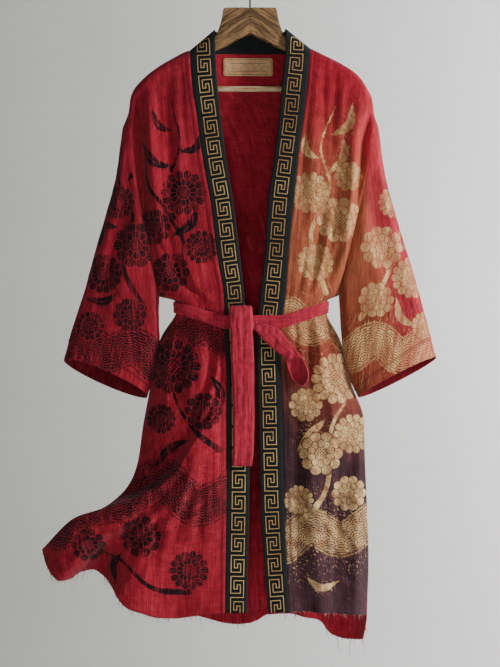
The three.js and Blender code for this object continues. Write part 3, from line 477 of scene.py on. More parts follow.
def crumpled(points, fade, seed, ring=False, outward=1, soft=2.0, fine=0.6):
    """Moves a surface along its normals by soft upright ripples and small crumples."""
    ripples = soft * noise_on(points, (26, 60, 170), seed)
    crumples = fine * noise_on(points, (13, 20, 24), seed + 1)
    crumples += 0.5 * fine * noise_on(points, (6, 8, 9), seed + 2)
    moved = outward * fade * (ripples + crumples)
    return points + moved[..., None] * grid_normals(points, ring)


def gridded(shape, points):
    """Fills a bmesh with a grid of points in millimetres, and gives the row and column of each vertex."""
    rows, columns = points.shape[:2]
    bmesh.ops.create_grid(shape, x_segments=columns - 1, y_segments=rows - 1, size=1)
    placed = {}
    for vertex in shape.verts:
        c = round((vertex.co.x + 1) / 2 * (columns - 1))
        r = round((1 - vertex.co.y) / 2 * (rows - 1))
        placed[vertex] = (r, c)
        vertex.co = points[r, c] * MM
    for face in shape.faces:
        face.smooth = True
    return placed


def surface(name, points, ring=False, flip=False, band=False):
    """A mesh on a grid of points in millimetres, with its real lengths as the UV map."""
    rows, columns = points.shape[:2]
    along_row = np.linalg.norm(np.diff(points, axis=1), axis=-1)
    along_column = np.linalg.norm(np.diff(points, axis=0), axis=-1)
    u = np.concatenate((np.zeros((rows, 1)), np.cumsum(along_row, axis=1)), axis=1)
    v = np.concatenate((np.zeros((1, columns)), np.cumsum(along_column, axis=0)), axis=0)
    if band:
        middle = points[:, columns // 2:columns // 2 + 1]
        way = np.gradient(middle, axis=0)
        way /= np.linalg.norm(way, axis=-1, keepdims=True)
        off = points - middle
        along = (off * way).sum(axis=-1)
        u = np.sign(u - u[:, -1:] / 2) * np.sqrt(np.maximum((off ** 2).sum(axis=-1) - along ** 2, 0))
        v = v.mean(axis=1, keepdims=True) + along
    shape = bmesh.new()
    lengths = shape.loops.layers.uv.new("cloth")
    place = shape.verts.layers.int.new("place")
    placed = gridded(shape, points)
    for vertex, (r, c) in placed.items():
        vertex[place] = r * columns + c
    for face in shape.faces:
        for loop in face.loops:
            r, c = placed[loop.vert]
            loop[lengths].uv = (u[r, c] * MM, -v[r, c] * MM)
    if ring:
        bmesh.ops.remove_doubles(shape, verts=shape.verts, dist=1e-7)
    if flip:
        bmesh.ops.reverse_faces(shape, faces=shape.faces)
    return finished(name, shape)


def meshed(name, shape):
    mesh = bpy.data.meshes.new(name)
    shape.to_mesh(mesh)
    shape.free()
    return mesh


def linked(name, data):
    """A new object in the scene, at the origin."""
    made = bpy.data.objects.new(name, data)
    bpy.context.scene.collection.objects.link(made)
    return made


def finished(name, shape):
    """A named piece from a bmesh, riding on the robe's one body."""
    piece = linked(name, meshed(name, shape))
    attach(piece, BODY)
    return piece


def by_vertex(piece, values):
    """A value for each vertex of a surface, from its value at each point of the grid."""
    place = np.empty(len(piece.data.vertices), dtype=np.int32)
    piece.data.attributes["place"].data.foreach_get("value", place)
    return values.ravel()[place]


def capped(rings):
    """Closes a tube of rings with the middle point of each end."""
    start, end = [one.mean(axis=1, keepdims=True).repeat(rings.shape[1], axis=1)
                  for one in (rings[:1], rings[-1:])]
    return np.concatenate((start, rings, end))


def thickened(piece, thickness, outer, inner=None):
    """Gives a sheet its thickness, with one finish outside and another inside."""
    wall = piece.modifiers.new("thickness", "SOLIDIFY")
    wall.thickness = thickness
    wall.offset = 0
    wall.use_even_offset = False
    piece.data.materials.append(outer)
    if inner is not None:
        piece.data.materials.append(inner)
        wall.material_offset = 1
    return piece


def rgb(red, green, blue):
    """A screen colour from 0 to 255 as a linear one."""
    def linear(value):
        value /= 255
        return value / 12.92 if value <= 0.04045 else ((value + 0.055) / 1.055) ** 2.4
    return (linear(red), linear(green), linear(blue), 1)


class Link:
    """A value on its way through a material. Operators on it add Math nodes."""

    def __init__(self, finish, socket):
        self.finish = finish
        self.socket = socket

    def math(self, operation, *values):
        return self.finish.node("Math", {"operation": operation}, dict(enumerate((self, *values))))

    def __add__(self, other):
        return self.math("ADD", other)

    def __sub__(self, other):
        return self.math("SUBTRACT", other)

    def __rsub__(self, other):
        return self.finish.node("Math", {"operation": "SUBTRACT"}, {0: other, 1: self})

    def __mul__(self, other):
        return self.math("MULTIPLY", other)

    def __truediv__(self, other):
        return self.math("DIVIDE", other)

    def __abs__(self):
        return self.math("ABSOLUTE")

    __radd__ = __add__
    __rmul__ = __mul__

    def least(self, other):
        return self.math("MINIMUM", other)

    def most(self, other):
        return self.math("MAXIMUM", other)

    def below(self, edge, soft):
        """1 below an edge and 0 above it, with a soft step."""
        if isinstance(edge, Link):
            return (self - edge).below(0, soft)
        return self.finish.node(
            "MapRange", {"interpolation_type": "SMOOTHSTEP"},
            {0: self, 1: edge - soft, 2: edge + soft, 3: 1.0, 4: 0.0})

    def above(self, edge, soft):
        return 1 - self.below(edge, soft)


class Finish:
    """A node material: its maths, its colours and its surface."""

    def __init__(self, name, roughness=0.9, sheen=0.0, metallic=0.0, specular=0.3):
        self.material = bpy.data.materials.new(name)
        self.material.use_nodes = True
        self.tree = self.material.node_tree
        self.shader = self.tree.nodes["Principled BSDF"]
        for socket, value in (("Roughness", roughness), ("Sheen Weight", sheen), ("Metallic", metallic),
                              ("Specular IOR Level", specular), ("Sheen Roughness", 0.45)):
            self.shader.inputs[socket].default_value = value

    def node(self, kind, settings, inputs, output=0):
        made = self.tree.nodes.new("ShaderNode" + kind)
        for name, value in settings.items():
            setattr(made, name, value)
        for key, value in inputs.items():
            if isinstance(value, Link):
                self.tree.links.new(value.socket, made.inputs[key])
            else:
                made.inputs[key].default_value = value
        return Link(self, made.outputs[output])

    def coordinates(self, source="Object"):
        if source == "Object":
            return self.node("TexCoord", {}, {}, "Object")
        if source == "cloth":
            return self.node("UVMap", {"uv_map": "cloth"}, {}, "UV")
        return self.node("Attribute", {"attribute_name": source}, {}, "Vector")

    def parts(self, vector):
        split = self.node("SeparateXYZ", {}, {0: vector}, 0)
        outputs = split.socket.node.outputs
        return [Link(self, outputs[i]) for i in range(3)]

    def scaled(self, vector, scale):
        return self.node("VectorMath", {"operation": "MULTIPLY"}, {0: vector, 1: scale})

    def joined(self, x, y, z=0.0):
        return self.node("CombineXYZ", {}, {0: x, 1: y, 2: z})

    def noise(self, vector, scale, detail=2.0, rough=0.5):
        """Noise from 0 to 1, whose scale is the number of lumps in a metre."""
        return self.node("TexNoise", {}, {"Vector": vector, "Scale": scale, "Detail": detail,
                                          "Roughness": rough}, "Fac")

    def mix(self, factor, first, second, blend="MIX"):
        return self.node("Mix", {"data_type": "RGBA", "blend_type": blend},
                         {0: factor, 6: first, 7: second}, 2)

    def ramp(self, value, *stops):
        """A colour by a value, from stops of a place and a colour."""
        made = self.node("ValToRGB", {}, {0: value})
        elements = made.socket.node.color_ramp.elements
        while len(elements) < len(stops):
            elements.new(0.5)
        for element, (place, colour) in zip(elements, stops):
            element.position = place
            element.color = colour
        return made

    def surface(self, colour, roughness=None, height=None, depth=0.0005, strength=1.0):
        """Feeds the shader: a colour, and where given a roughness and a height in its own units."""
        self.tree.links.new(colour.socket, self.shader.inputs["Base Color"])
        if roughness is not None:
            self.tree.links.new(roughness.socket, self.shader.inputs["Roughness"])
        if height is not None:
            bump = self.node("Bump", {}, {"Strength": strength, "Distance": depth, "Height": height})
            self.tree.links.new(bump.socket, self.shader.inputs["Normal"])
        return self.material


THREAD_PITCH = 1.1 * MM


def weave(finish, uv):
    """The height of a plain slub weave, and its light and dark streaks from 0 to 1."""
    wobble = finish.noise(uv, 160, 2.0)
    u, v, _ = finish.parts(uv)
    warp = abs((u * (math.pi / THREAD_PITCH) + wobble * 5.0).math("SINE"))
    weft = abs((v * (math.pi / THREAD_PITCH) + wobble * 5.0).math("SINE"))
    upright = finish.noise(finish.scaled(uv, (1, 0.045, 1)), 430, 3.0, 0.6)
    broad = finish.noise(finish.scaled(uv, (1, 0.07, 1)), 120, 2.0)
    level = finish.noise(finish.scaled(uv, (0.06, 1, 1)), 420, 2.0)
    mottle = finish.noise(uv, 60, 5.0, 0.7)
    streaks = upright * 0.4 + broad * 0.16 + level * 0.16 + mottle * 0.28
    height = (warp * weft) * 0.5 + upright * 1.1 + level * 0.6 + mottle * 0.4
    return height, streaks


PETALS = 14


def blossom_ink(finish, rough_edge):
    """A many-petalled flower: where it is inked, and all of its ground."""
    x, y, radius = finish.parts(finish.coordinates("blossom"))
    fewer, _, _ = finish.parts(finish.coordinates("kinds"))
    radius = radius + (rough_edge - 0.5) * 0.05
    swing = abs((y.math("ARCTAN2", x) * (PETALS / 2 - fewer * 2.0)).math("COSINE"))
    between = (1 - swing * swing).math("SQRT")
    outer_edge = 0.76 + swing.math("SQRT") * 0.22
    middle_edge = 0.46 + between.math("SQRT") * 0.17
    inner_edge_ = 0.2 + swing.math("SQRT") * 0.11
    ground = radius.below(outer_edge, 0.02)
    in_middle = radius.below(middle_edge, 0.01)
    in_heart = radius.below(inner_edge_, 0.01)
    outer_gap = swing.below(0.12, 0.05) * (1 - in_middle)
    middle_gap = between.below(0.16, 0.05) * in_middle * (1 - in_heart)
    rims = abs(radius - middle_edge).below(0.02, 0.008).most(abs(radius - inner_edge_).below(0.02, 0.008))
    heart_dots = ((x * 44).math("SINE") * (y * 44).math("SINE")).above(0.25, 0.1) * radius.below(0.2, 0.01)
    veins = (y.math("ARCTAN2", x) * 42.0).math("SINE").above(0.8, 0.15) * radius.above(0.5, 0.12) * 0.5
    gaps = outer_gap.most(middle_gap).most(rims).most(heart_dots).most(veins)
    return ground * (1 - gaps), radius.below(outer_edge + 0.05, 0.015)


SCALE_RADIUS = 15.0
WAVE_HALF_WIDTH = 17.0


def wave_gaps(along, across):
    """Overlapping wave scales: the fine lines between their rings."""
    row_height = SCALE_RADIUS / 2
    first = ((across + SCALE_RADIUS) / row_height).math("FLOOR")
    distances = []
    for step in range(3):
        row = first - float(step)
        parity = row.math("PINGPONG", 1.0)
        offset = (along - parity * SCALE_RADIUS).math("PINGPONG", SCALE_RADIUS)
        rise = row * row_height - across
        distances.append((offset * offset + rise * rise).math("SQRT") / SCALE_RADIUS)
    in_first = distances[0].below(1.0, 0.01)
    in_second = distances[1].below(1.0, 0.01)
    second = distances[2] + (distances[1] - distances[2]) * in_second
    distance = second + (distances[0] - second) * in_first
    rings = abs((distance * 3.0 + 0.5).math("FRACT") - 0.5)
    return rings.above(0.33, 0.05)


def ribbon_ink(finish, rough_edge):
    """Brush strokes, leaves and wave bands: their ink, and how far out from their line a point is."""
    along, across, share = finish.parts(finish.coordinates("ribbon"))
    _, half, _ = finish.parts(finish.coordinates("kinds"))
    bristles = finish.noise(finish.joined(along * 0.014, across * 0.55), 1.0, 3.0, 0.7)
    wide = half.above(WAVE_HALF_WIDTH, 0.5)
    thin = 1 - wide
    ragged = share + (rough_edge - 0.5) * 0.6 + (bristles - 0.42) * thin * 1.1
    ground = ragged.below(1.0, 0.06)
    vein = share.below(0.09, 0.05) * half.above(7.0, 0.5) * thin
    rim = abs(share - 0.9).below(0.03, 0.015) * wide
    inner = share.below(0.87, 0.02)
    gaps = (wave_gaps(along, across) * wide * inner).most(vein).most(rim)
    return ground * (1 - gaps), share


def print_mask(finish, uv, streaks, worn_from):
    """All that is printed, worn by the weave and in broad patches."""
    rough_edge = finish.noise(uv, 170, 3.0, 0.7)
    flowers, flower_ground = blossom_ink(finish, rough_edge)
    strokes, share = ribbon_ink(finish, rough_edge)
    spots = finish.noise(uv, 210, 2.0, 0.6).above(0.62, 0.02) * share.below(2.1, 0.7)
    strokes = strokes.most(spots * 0.85) * (1 - flower_ground)
    patches = finish.noise(uv, 24, 3.0, 0.6)
    worn = (streaks * 0.9 + patches * 0.4).above(worn_from, 0.09)
    return flowers.most(strokes) * (1 - worn * 0.75)


STITCH_ROWS = (8.0, 10.6)
STITCH_PITCH = 3.4 * MM


def seam_lines(finish, uv):
    """Rows of stitches at set distances from a seam, and the groove that they draw the cloth into, which
    linen also darkens as painted shade.
    """
    _, _, from_seam = finish.parts(finish.coordinates("kinds"))
    u, v, _ = finish.parts(uv)
    stitched = ((u + v) * (math.tau / STITCH_PITCH)).math("SINE").above(-0.35, 0.2)
    stitches, groove = None, None
    for row in STITCH_ROWS:
        away = abs(from_seam - row)
        line, dip = away.below(0.42, 0.2), away.below(1.0, 0.8)
        stitches = line if stitches is None else stitches.most(line)
        groove = dip if groove is None else groove.most(dip)
    return stitches * stitched, groove


# How strongly the streaks and the faded patches shade the dye, and the limits of the shade
STREAK_SHADE = 4.2
FADE_SHADE = 1.15
SHADE_BASE = 0.42
SHADE_LIMITS = (0.28, 1.5)
WORN_FROM = 0.71
GOLD_WORN_FROM = 0.67


def linen(name, ground, ink=None, gold=False, seams=False):
    """Slub linen. "ground" gives its dye by the finish, and "ink" is the colour printed on it."""
    finish = Finish(name, roughness=0.92, sheen=0.06, specular=0.12)
    uv = finish.coordinates("cloth")
    height, streaks = weave(finish, uv)
    dye = ground(finish)
    fade = finish.noise(finish.coordinates(), 9.0, 4.0, 0.65)
    shade = SHADE_BASE + (streaks - 0.5) * STREAK_SHADE + fade * FADE_SHADE
    colour = finish.scaled(dye, shade.most(SHADE_LIMITS[0]).least(SHADE_LIMITS[1]))
    colour = finish.mix(streaks.above(0.6, 0.06) * 0.3, colour, rgb(200, 112, 118))
    if ink is not None:
        mask = print_mask(finish, uv, streaks, GOLD_WORN_FROM if gold else WORN_FROM)
        cloudy = finish.noise(uv, 52, 4.0, 0.65)
        tone = finish.mix((streaks * 0.5 + cloudy * 0.5).above(0.49, 0.1), ink[0], ink[1])
        colour = finish.mix(mask, colour, tone)
        height = height + mask * (0.6 if gold else 0.1)
    if seams:
        stitches, groove = seam_lines(finish, uv)
        # Painted shade: the stitch groove's colour is darkened to a third of the dye, on top of its sunk
        # bump.
        colour = finish.mix(groove * 0.5, colour, finish.scaled(dye, (0.3, 0.3, 0.3)))
        colour = finish.mix(stitches * 0.6, colour, finish.scaled(dye, (1.5, 1.5, 1.5)))
        height = height - groove * 2.2 + stitches * 1.4
    return finish.surface(colour, height=height, depth=0.0005, strength=1.0)


def drifting(scale, first, second):
    """A dye that drifts between two of the robe's colours, in lumps of a scale."""
    def ground(finish):
        settings = bpy.context.scene.robe
        lumps = finish.noise(finish.coordinates(), scale, 2.0)
        return finish.mix(lumps, getattr(settings, first), getattr(settings, second))
    return ground


# The dye of the left front by how far down it is, over its whole length
OMBRE_LENGTH = 1.35
OMBRE = (
    (0.12, rgb(140, 24, 40)), (0.2, rgb(150, 32, 44)), (0.27, rgb(160, 58, 52)),
    (0.35, rgb(164, 84, 60)), (0.44, rgb(158, 86, 58)), (0.52, rgb(146, 68, 48)),
    (0.6, rgb(128, 56, 42)), (0.67, rgb(92, 46, 40)), (0.73, rgb(58, 34, 38)), (1.0, rgb(68, 44, 52)))
OMBRE_LEAN = 0.42


def ombre_ground(finish):
    place = finish.coordinates()
    x, _, z = finish.parts(place)
    drift = (finish.noise(place, 5.0, 3.0) - 0.5) * 0.12
    settings = bpy.context.scene.robe
    outward = x + z * 0.255 + drift * 0.25
    in_sleeve = (x - 0.23).above(0.0, 0.004) * (z + 0.86).above(0.0, 0.004)
    below_waist = (z + 0.7).below(0.0, 0.08)
    beside_band = (0.17 - x).most(-0.03) * below_waist * OMBRE_LEAN
    down = (z + drift) / -OMBRE_LENGTH + beside_band
    colour = finish.ramp(down, *OMBRE)
    sleeve_red = finish.mix(0.3, settings.red, rgb(178, 64, 66))
    return finish.mix(outward.above(0.105, 0.045) * in_sleeve, colour, sleeve_red)


# The meander of the collar band as one line on steps across and along it
KEY_STEP_ACROSS = 6.25
KEY_STEP_ALONG = 8.3
KEY_PERIOD = 5
KEY_HALF_STROKE = 0.85
KEY_GROUND_REACH = 15.6
KEY_OFFSET = 1.5
KEY_DIM = (0.7, 0.72, 0.66)
KEY_PATH = ((4, 0), (0, 0), (0, 4), (3, 4), (3, 2), (2, 2), (2, 3), (1, 3), (1, 1), (4, 1), (4, 5))
KEY_LINES = (*zip(KEY_PATH[:-1], KEY_PATH[1:]), ((4, -1), (4, 0)))


def key_mask(finish, uv):
    """1 on the gold line, and the distance across the band from the pattern's middle in millimetres."""
    u, v, _ = finish.parts(uv)
    across = u * 1000 - KEY_OFFSET
    along = (v * -1000).math("WRAP", (KEY_PERIOD - 0.5) * KEY_STEP_ALONG, -0.5 * KEY_STEP_ALONG)
    distance = None
    for (u0, v0), (u1, v1) in KEY_LINES:
        middle_u, middle_v = (u0 + u1 - 4) / 2 * KEY_STEP_ACROSS, (v0 + v1) / 2 * KEY_STEP_ALONG
        half_u, half_v = abs(u1 - u0) / 2 * KEY_STEP_ACROSS, abs(v1 - v0) / 2 * KEY_STEP_ALONG
        bar = (abs(across - middle_u) - half_u).most(abs(along - middle_v) - half_v)
        distance = bar if distance is None else distance.least(bar)
    return distance.below(KEY_HALF_STROKE, 0.3), abs(across)


def band_finish(name, patterned):
    """Charcoal twill, with a gold meander on its face."""
    settings = bpy.context.scene.robe
    finish = Finish(name, roughness=0.82, sheen=0.05, specular=0.2)
    uv = finish.coordinates("cloth")
    u, v, _ = finish.parts(uv)
    twill = abs(((u + v) * (math.pi / (1.3 * MM))).math("SINE"))
    mottle = finish.noise(uv, 300, 3.0, 0.6)
    ground = finish.mix(mottle, rgb(10, 13, 14), settings.charcoal)
    height = twill * 0.5 + mottle * 0.4
    if patterned:
        mask, from_middle = key_mask(finish, uv)
        black = finish.mix(mottle, rgb(6, 6, 8), rgb(18, 18, 20))
        ground = finish.mix(from_middle.below(KEY_GROUND_REACH, 0.5), ground, black)
        dim = finish.noise(finish.coordinates(), 7.0, 2.0) * 0.5 + mottle * 0.5
        gold = finish.scaled(finish.mix(dim.above(0.5, 0.18), settings.gold_deep, settings.gold), KEY_DIM)
        ground = finish.mix(mask, ground, gold)
        height = height + mask * 0.8
    return finish.surface(ground, height=height, depth=0.0004, strength=0.7)


# The print: flowers as x, down and radius, and ribbons as half width, shape and a line of points
def ribbon(half, shape, *line):
    return SimpleNamespace(half=half, shape=shape, line=smooth_line(line))


def smooth_line(line, steps=8):
    """A smooth curve through given points."""
    points = np.array(line, dtype=float)
    padded = np.concatenate((2 * points[:1] - points[1:2], points, 2 * points[-1:] - points[-2:-1]))
    curve = []
    for i in range(1, len(padded) - 2):
        for q in np.arange(steps) / steps:
            p0, p1, p2, p3 = padded[i - 1:i + 3]
            curve.append(0.5 * (2 * p1 + (p2 - p0) * q + (2 * p0 - 5 * p1 + 4 * p2 - p3) * q * q
                                + (3 * p1 - p0 - 3 * p2 + p3) * q ** 3))
    curve.append(points[-1])
    return [tuple(point) for point in curve]


FRONT_RIGHT_FLOWERS = (
    (-132, 452, 46), (-192, 520, 36), (-96, 560, 34), (-158, 610, 40), (-152, 796, 56),
    (-92, 884, 38), (-176, 900, 30), (-214, 1128, 42), (-120, 1196, 40), (-318, 1146, 34))
FRONT_RIGHT_RIBBONS = (
    ribbon(6, "taper", (-176, 660), (-130, 560), (-172, 470), (-140, 360), (-156, 270)),
    ribbon(5, "taper", (-150, 500), (-200, 440), (-206, 370)),
    ribbon(9, "leaf", (-150, 400), (-190, 392), (-214, 350)),
    ribbon(9, "leaf", (-144, 372), (-108, 362), (-94, 326)),
    ribbon(8, "leaf", (-150, 330), (-182, 318), (-196, 284)),
    ribbon(10, "leaf", (-160, 540), (-118, 516), (-104, 480)),
    ribbon(34, "band", (-50, 742), (-96, 716), (-140, 744), (-178, 716)),
    ribbon(7, "taper", (-60, 960), (-110, 920), (-150, 850), (-140, 760)),
    ribbon(10, "leaf", (-120, 940), (-160, 960), (-190, 1000)),
    ribbon(10, "leaf", (-70, 900), (-58, 850), (-78, 812)),
    ribbon(38, "band", (-50, 1050), (-110, 1070), (-170, 1016), (-240, 1060), (-300, 1068), (-380, 1120)),
    ribbon(8, "leaf", (-250, 1160), (-270, 1190), (-262, 1222)),
    ribbon(7, "taper", (-120, 1240), (-190, 1230), (-250, 1180), (-300, 1160)))
SLEEVE_RIGHT_FLOWERS = (
    (-262, 470, 34), (-226, 556, 46), (-292, 612, 40), (-238, 694, 34), (-318, 716, 30))
SLEEVE_RIGHT_RIBBONS = (
    ribbon(6, "taper", (-210, 680), (-250, 600), (-232, 500), (-262, 420), (-250, 350)),
    ribbon(10, "leaf", (-244, 430), (-222, 398), (-228, 362)),
    ribbon(10, "leaf", (-262, 520), (-292, 520), (-300, 560)),
    ribbon(36, "band", (-190, 790), (-230, 756), (-286, 772), (-330, 742), (-372, 752)),
    ribbon(9, "leaf", (-262, 650), (-290, 668), (-330, 660)))
FRONT_LEFT_FLOWERS = (
    (118, 452, 42), (176, 506, 46), (130, 590, 38), (196, 420, 30), (172, 820, 52), (110, 872, 34),
    (204, 930, 40), (140, 968, 44), (96, 1060, 30), (196, 1048, 36))
FRONT_LEFT_RIBBONS = (
    ribbon(6, "taper", (150, 650), (120, 540), (158, 440), (140, 360), (170, 280)),
    ribbon(9, "leaf", (150, 420), (186, 380), (184, 340)),
    ribbon(9, "leaf", (140, 390), (110, 366), (112, 330)),
    ribbon(10, "leaf", (158, 340), (196, 318), (204, 272)),
    ribbon(32, "band", (80, 690), (120, 724), (160, 700), (200, 742)),
    ribbon(7, "taper", (90, 1110), (150, 1040), (160, 920), (190, 860), (200, 780)),
    ribbon(10, "leaf", (150, 900), (120, 930), (92, 966)),
    ribbon(34, "band", (70, 1150), (120, 1112), (180, 1140), (240, 1104)),
    ribbon(8, "leaf", (110, 1210), (140, 1232), (176, 1222)))
SLEEVE_LEFT_FLOWERS = (
    (286, 470, 32), (262, 560, 44), (322, 620, 42), (250, 664, 36), (350, 716, 30))
SLEEVE_LEFT_RIBBONS = (
    ribbon(6, "taper", (220, 700), (270, 620), (300, 520), (276, 420), (288, 340)),
    ribbon(10, "leaf", (288, 420), (314, 440), (320, 480)),
    ribbon(10, "leaf", (300, 560), (336, 560), (350, 590)),
    ribbon(34, "band", (200, 776), (250, 742), (300, 778), (350, 752), (390, 776)),
    ribbon(9, "leaf", (290, 660), (300, 700), (330, 716)))
BACK_FLOWERS = (
    (-60, 420, 58), (76, 470, 52), (-120, 520, 44), (20, 560, 60), (140, 580, 40), (-150, 380, 34),
    (150, 390, 40), (-100, 820, 60), (40, 880, 66), (140, 800, 46), (-30, 980, 48), (-150, 990, 40),
    (130, 1000, 52), (60, 1180, 50), (-110, 1190, 46), (170, 1200, 38))
BACK_RIBBONS = (
    ribbon(9, "taper", (-150, 640), (-60, 560), (10, 440), (120, 380), (160, 300)),
    ribbon(8, "taper", (150, 660), (80, 600), (-40, 520), (-140, 460), (-180, 380)),
    ribbon(12, "leaf", (0, 400), (-30, 350), (-90, 330)),
    ribbon(12, "leaf", (60, 380), (90, 330), (80, 280)),
    ribbon(42, "band", (-190, 730), (-90, 700), (0, 750), (90, 704), (190, 740)),
    ribbon(8, "taper", (-200, 1040), (-80, 940), (40, 960), (160, 900), (200, 820)),
    ribbon(46, "band", (-230, 1110), (-120, 1080), (-10, 1120), (110, 1080), (230, 1110)),
    ribbon(12, "leaf", (-60, 1060), (-90, 1030), (-150, 1060)))
FAR = 1e4


def printed(piece, flowers, ribbons, from_seam):
    """Stores at each vertex its place in the nearest flower, along the nearest ribbon and from the seam."""
    mesh = piece.data
    places = np.empty(len(mesh.vertices) * 3)
    mesh.vertices.foreach_get("co", places)
    x, _, z = places.reshape(-1, 3).T / MM
    in_flower = np.full((len(x), 3), FAR)
    kinds = np.stack((np.zeros(len(x)), np.ones(len(x)), from_seam.ravel()), axis=1)
    for turn, (centre_x, centre_down, radius) in enumerate(flowers):
        local_x, local_y = (x - centre_x) / radius, (-z - centre_down) / radius
        distance = np.hypot(local_x, local_y)
        closer = distance < in_flower[:, 2]
        in_flower[closer] = np.stack((local_x, local_y, distance), axis=1)[closer]
        kinds[closer, 0] = turn % 2
    on_ribbon = np.tile((0.0, FAR, FAR), (len(x), 1))
    for one in ribbons:
        distance, along, below = nearest(one.line, x, -z)
        length = sum(math.dist(a, b) for a, b in zip(one.line[:-1], one.line[1:]))
        taper = {"taper": 1 - 0.8 * along, "leaf": np.sin(np.pi * np.clip(along, 0.03, 0.97)),
                 "band": np.ones(len(x))}[one.shape]
        half = one.half * taper
        closer = distance / half < on_ribbon[:, 2]
        on_ribbon[closer] = np.stack((along * length, below * distance, distance / half), axis=1)[closer]
        kinds[closer, 1] = half[closer]
    for name, values in (("blossom", in_flower), ("ribbon", on_ribbon), ("kinds", kinds)):
        layer = mesh.attributes.new(name, "FLOAT_VECTOR", "POINT")
        layer.data.foreach_set("vector", values.ravel())


SEAM_RIDGE_WIDTH = 9.0
SEAM_RIDGE_HEIGHT = 1.0


def front_sheet(side, seed):
    """The fine surface of a front panel, with the stitched ridge beside the collar band."""
    columns = toward_side(84 if side is RIGHT else 72)
    rows = panel_rows(side.front)
    across, row = np.meshgrid(columns, rows)
    points = front_point(side, across, row)
    fade = share_of(across, 0, 0.1) * share_of(1 - across, 0, 0.06) * share_of(row, 0, 0.2)
    points = crumpled(points, fade, seed, outward=-side.way)
    from_seam = np.abs(points[..., 0] - points[:, :1, 0])
    ridge = SEAM_RIDGE_HEIGHT * (1 - share_of(from_seam, SEAM_RIDGE_WIDTH - 1.5, SEAM_RIDGE_WIDTH + 1))
    ridge *= share_of(from_seam, 0, 1.5) * (1 + 0.35 * noise_on(points, (9, 9, 9), seed + 5))
    points[..., 1] -= ridge * share_of(row, 0, 0.05)
    return points, from_seam


def make_fronts(settings, red, ombre, inside):
    """The two front panels."""
    for side, name, finish, flowers, ribbons, flat, area in (
            (RIGHT, "front_right", red, FRONT_RIGHT_FLOWERS, FRONT_RIGHT_RIBBONS, (0.44, 1.2), 0.222),
            (LEFT, "front_left", ombre, FRONT_LEFT_FLOWERS, FRONT_LEFT_RIBBONS, (0.3, 1.18), 0.18)):
        points, from_seam = front_sheet(side, 3 if side is RIGHT else 8)
        piece = surface("robe_" + name, points, flip=side is RIGHT)
        printed(piece, flowers, ribbons, by_vertex(piece, from_seam))
        thickened(piece, settings.cloth, finish, inside)
        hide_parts(name)


def make_back(settings, red, inside):
    """The back, cut in one piece."""
    half = toward_side(76)
    columns = [(RIGHT, half[::-1]), (LEFT, half[1:])]
    rows = panel_rows(BACK_RIGHT)
    halves = []
    for side, shares in columns:
        across, row = np.meshgrid(shares, rows)
        points = back_point(side, across, row)
        fade = share_of(1 - across, 0, 0.06) * share_of(row, 0, 0.25)
        halves.append((points, fade))
    points = np.concatenate([one[0] for one in halves], axis=1)
    fade = np.concatenate([one[1] for one in halves], axis=1)
    points = crumpled(points, fade, 14, outward=-1)
    piece = surface("robe_back", points, flip=True)
    from_neck = np.abs(-points[..., 2] - NECK_SEAM["down"][0]) + FAR * (np.abs(points[..., 0]) > 112)
    printed(piece, BACK_FLOWERS, BACK_RIBBONS, by_vertex(piece, from_neck))
    thickened(piece, settings.cloth, red, inside)
    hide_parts("back")


# Upright folds of the sleeves: the angle round the sleeve in degrees, from and to along it, and its depth
SLEEVE_FOLDS = table(
    "angle start end inward width turn",
    (34, 0.0, 0.62, 3.2, 9, 6), (62, 0.02, 0.8, -3.0, 11, -8), (88, 0.0, 0.55, 4.0, 10, -12),
    (112, 0.1, 0.9, -3.0, 12, 8), (134, 0.0, 0.6, 4.4, 10, 10), (156, 0.05, 0.5, -2.6, 8, 4),
    (214, 0.0, 0.7, 3.4, 11, 6), (250, 0.1, 0.9, -3.2, 13, -6), (286, 0.0, 0.6, 3.6, 11, 8),
    (322, 0.05, 0.7, -2.4, 10, 4))
CUFF_HEM = 40.0
SLEEVE_LENGTH = 480.0


def sleeve_sheet(side, seed):
    around = np.linspace(0, 360, 169)
    along = np.linspace(0, 1, 165)
    degrees, share = np.meshgrid(around, along)
    points = sleeve_point(side, np.radians(degrees), share)
    inward = np.zeros(degrees.shape)
    for angle, start, end, depth, width, turn in zip(*SLEEVE_FOLDS.values()):
        q = np.clip((share - start) / (end - start), 0, 1)
        gap = (degrees - angle - turn * q + 180) % 360 - 180
        inward += 1.35 * depth * np.sqrt(np.sin(np.pi * q)) * np.exp(-(gap / width) ** 2)
    hem_line = (share - 1 + CUFF_HEM / SLEEVE_LENGTH) * SLEEVE_LENGTH
    inward += 1.1 * np.exp(-(hem_line / 2.2) ** 2) - 0.5 * share_of(hem_line, 0, 3)
    fade = share_of(share, 0, 0.07)
    points -= side.way * (inward * fade)[..., None] * grid_normals(points, True)
    from_top = np.cumsum(np.linalg.norm(np.diff(points, axis=1, prepend=points[:, :1]), axis=-1), axis=1)
    from_seam = np.minimum(np.abs(hem_line) + STITCH_ROWS[0], from_top)
    return crumpled(points, fade, seed, ring=True, outward=side.way), from_seam


def make_sleeves(settings, red, ombre, inside):
    """The two sleeves, each one tube."""
    for side, name, finish, flowers, ribbons in (
            (RIGHT, "sleeve_right", red, SLEEVE_RIGHT_FLOWERS, SLEEVE_RIGHT_RIBBONS),
            (LEFT, "sleeve_left", ombre, SLEEVE_LEFT_FLOWERS, SLEEVE_LEFT_RIBBONS)):
        points, from_seam = sleeve_sheet(side, 21 if side is RIGHT else 27)
        piece = surface("robe_" + name, points, ring=True, flip=side is LEFT)
        printed(piece, flowers, ribbons, by_vertex(piece, from_seam))
        thickened(piece, settings.cloth, finish, inside)
        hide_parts(name + "_front", name + "_back")


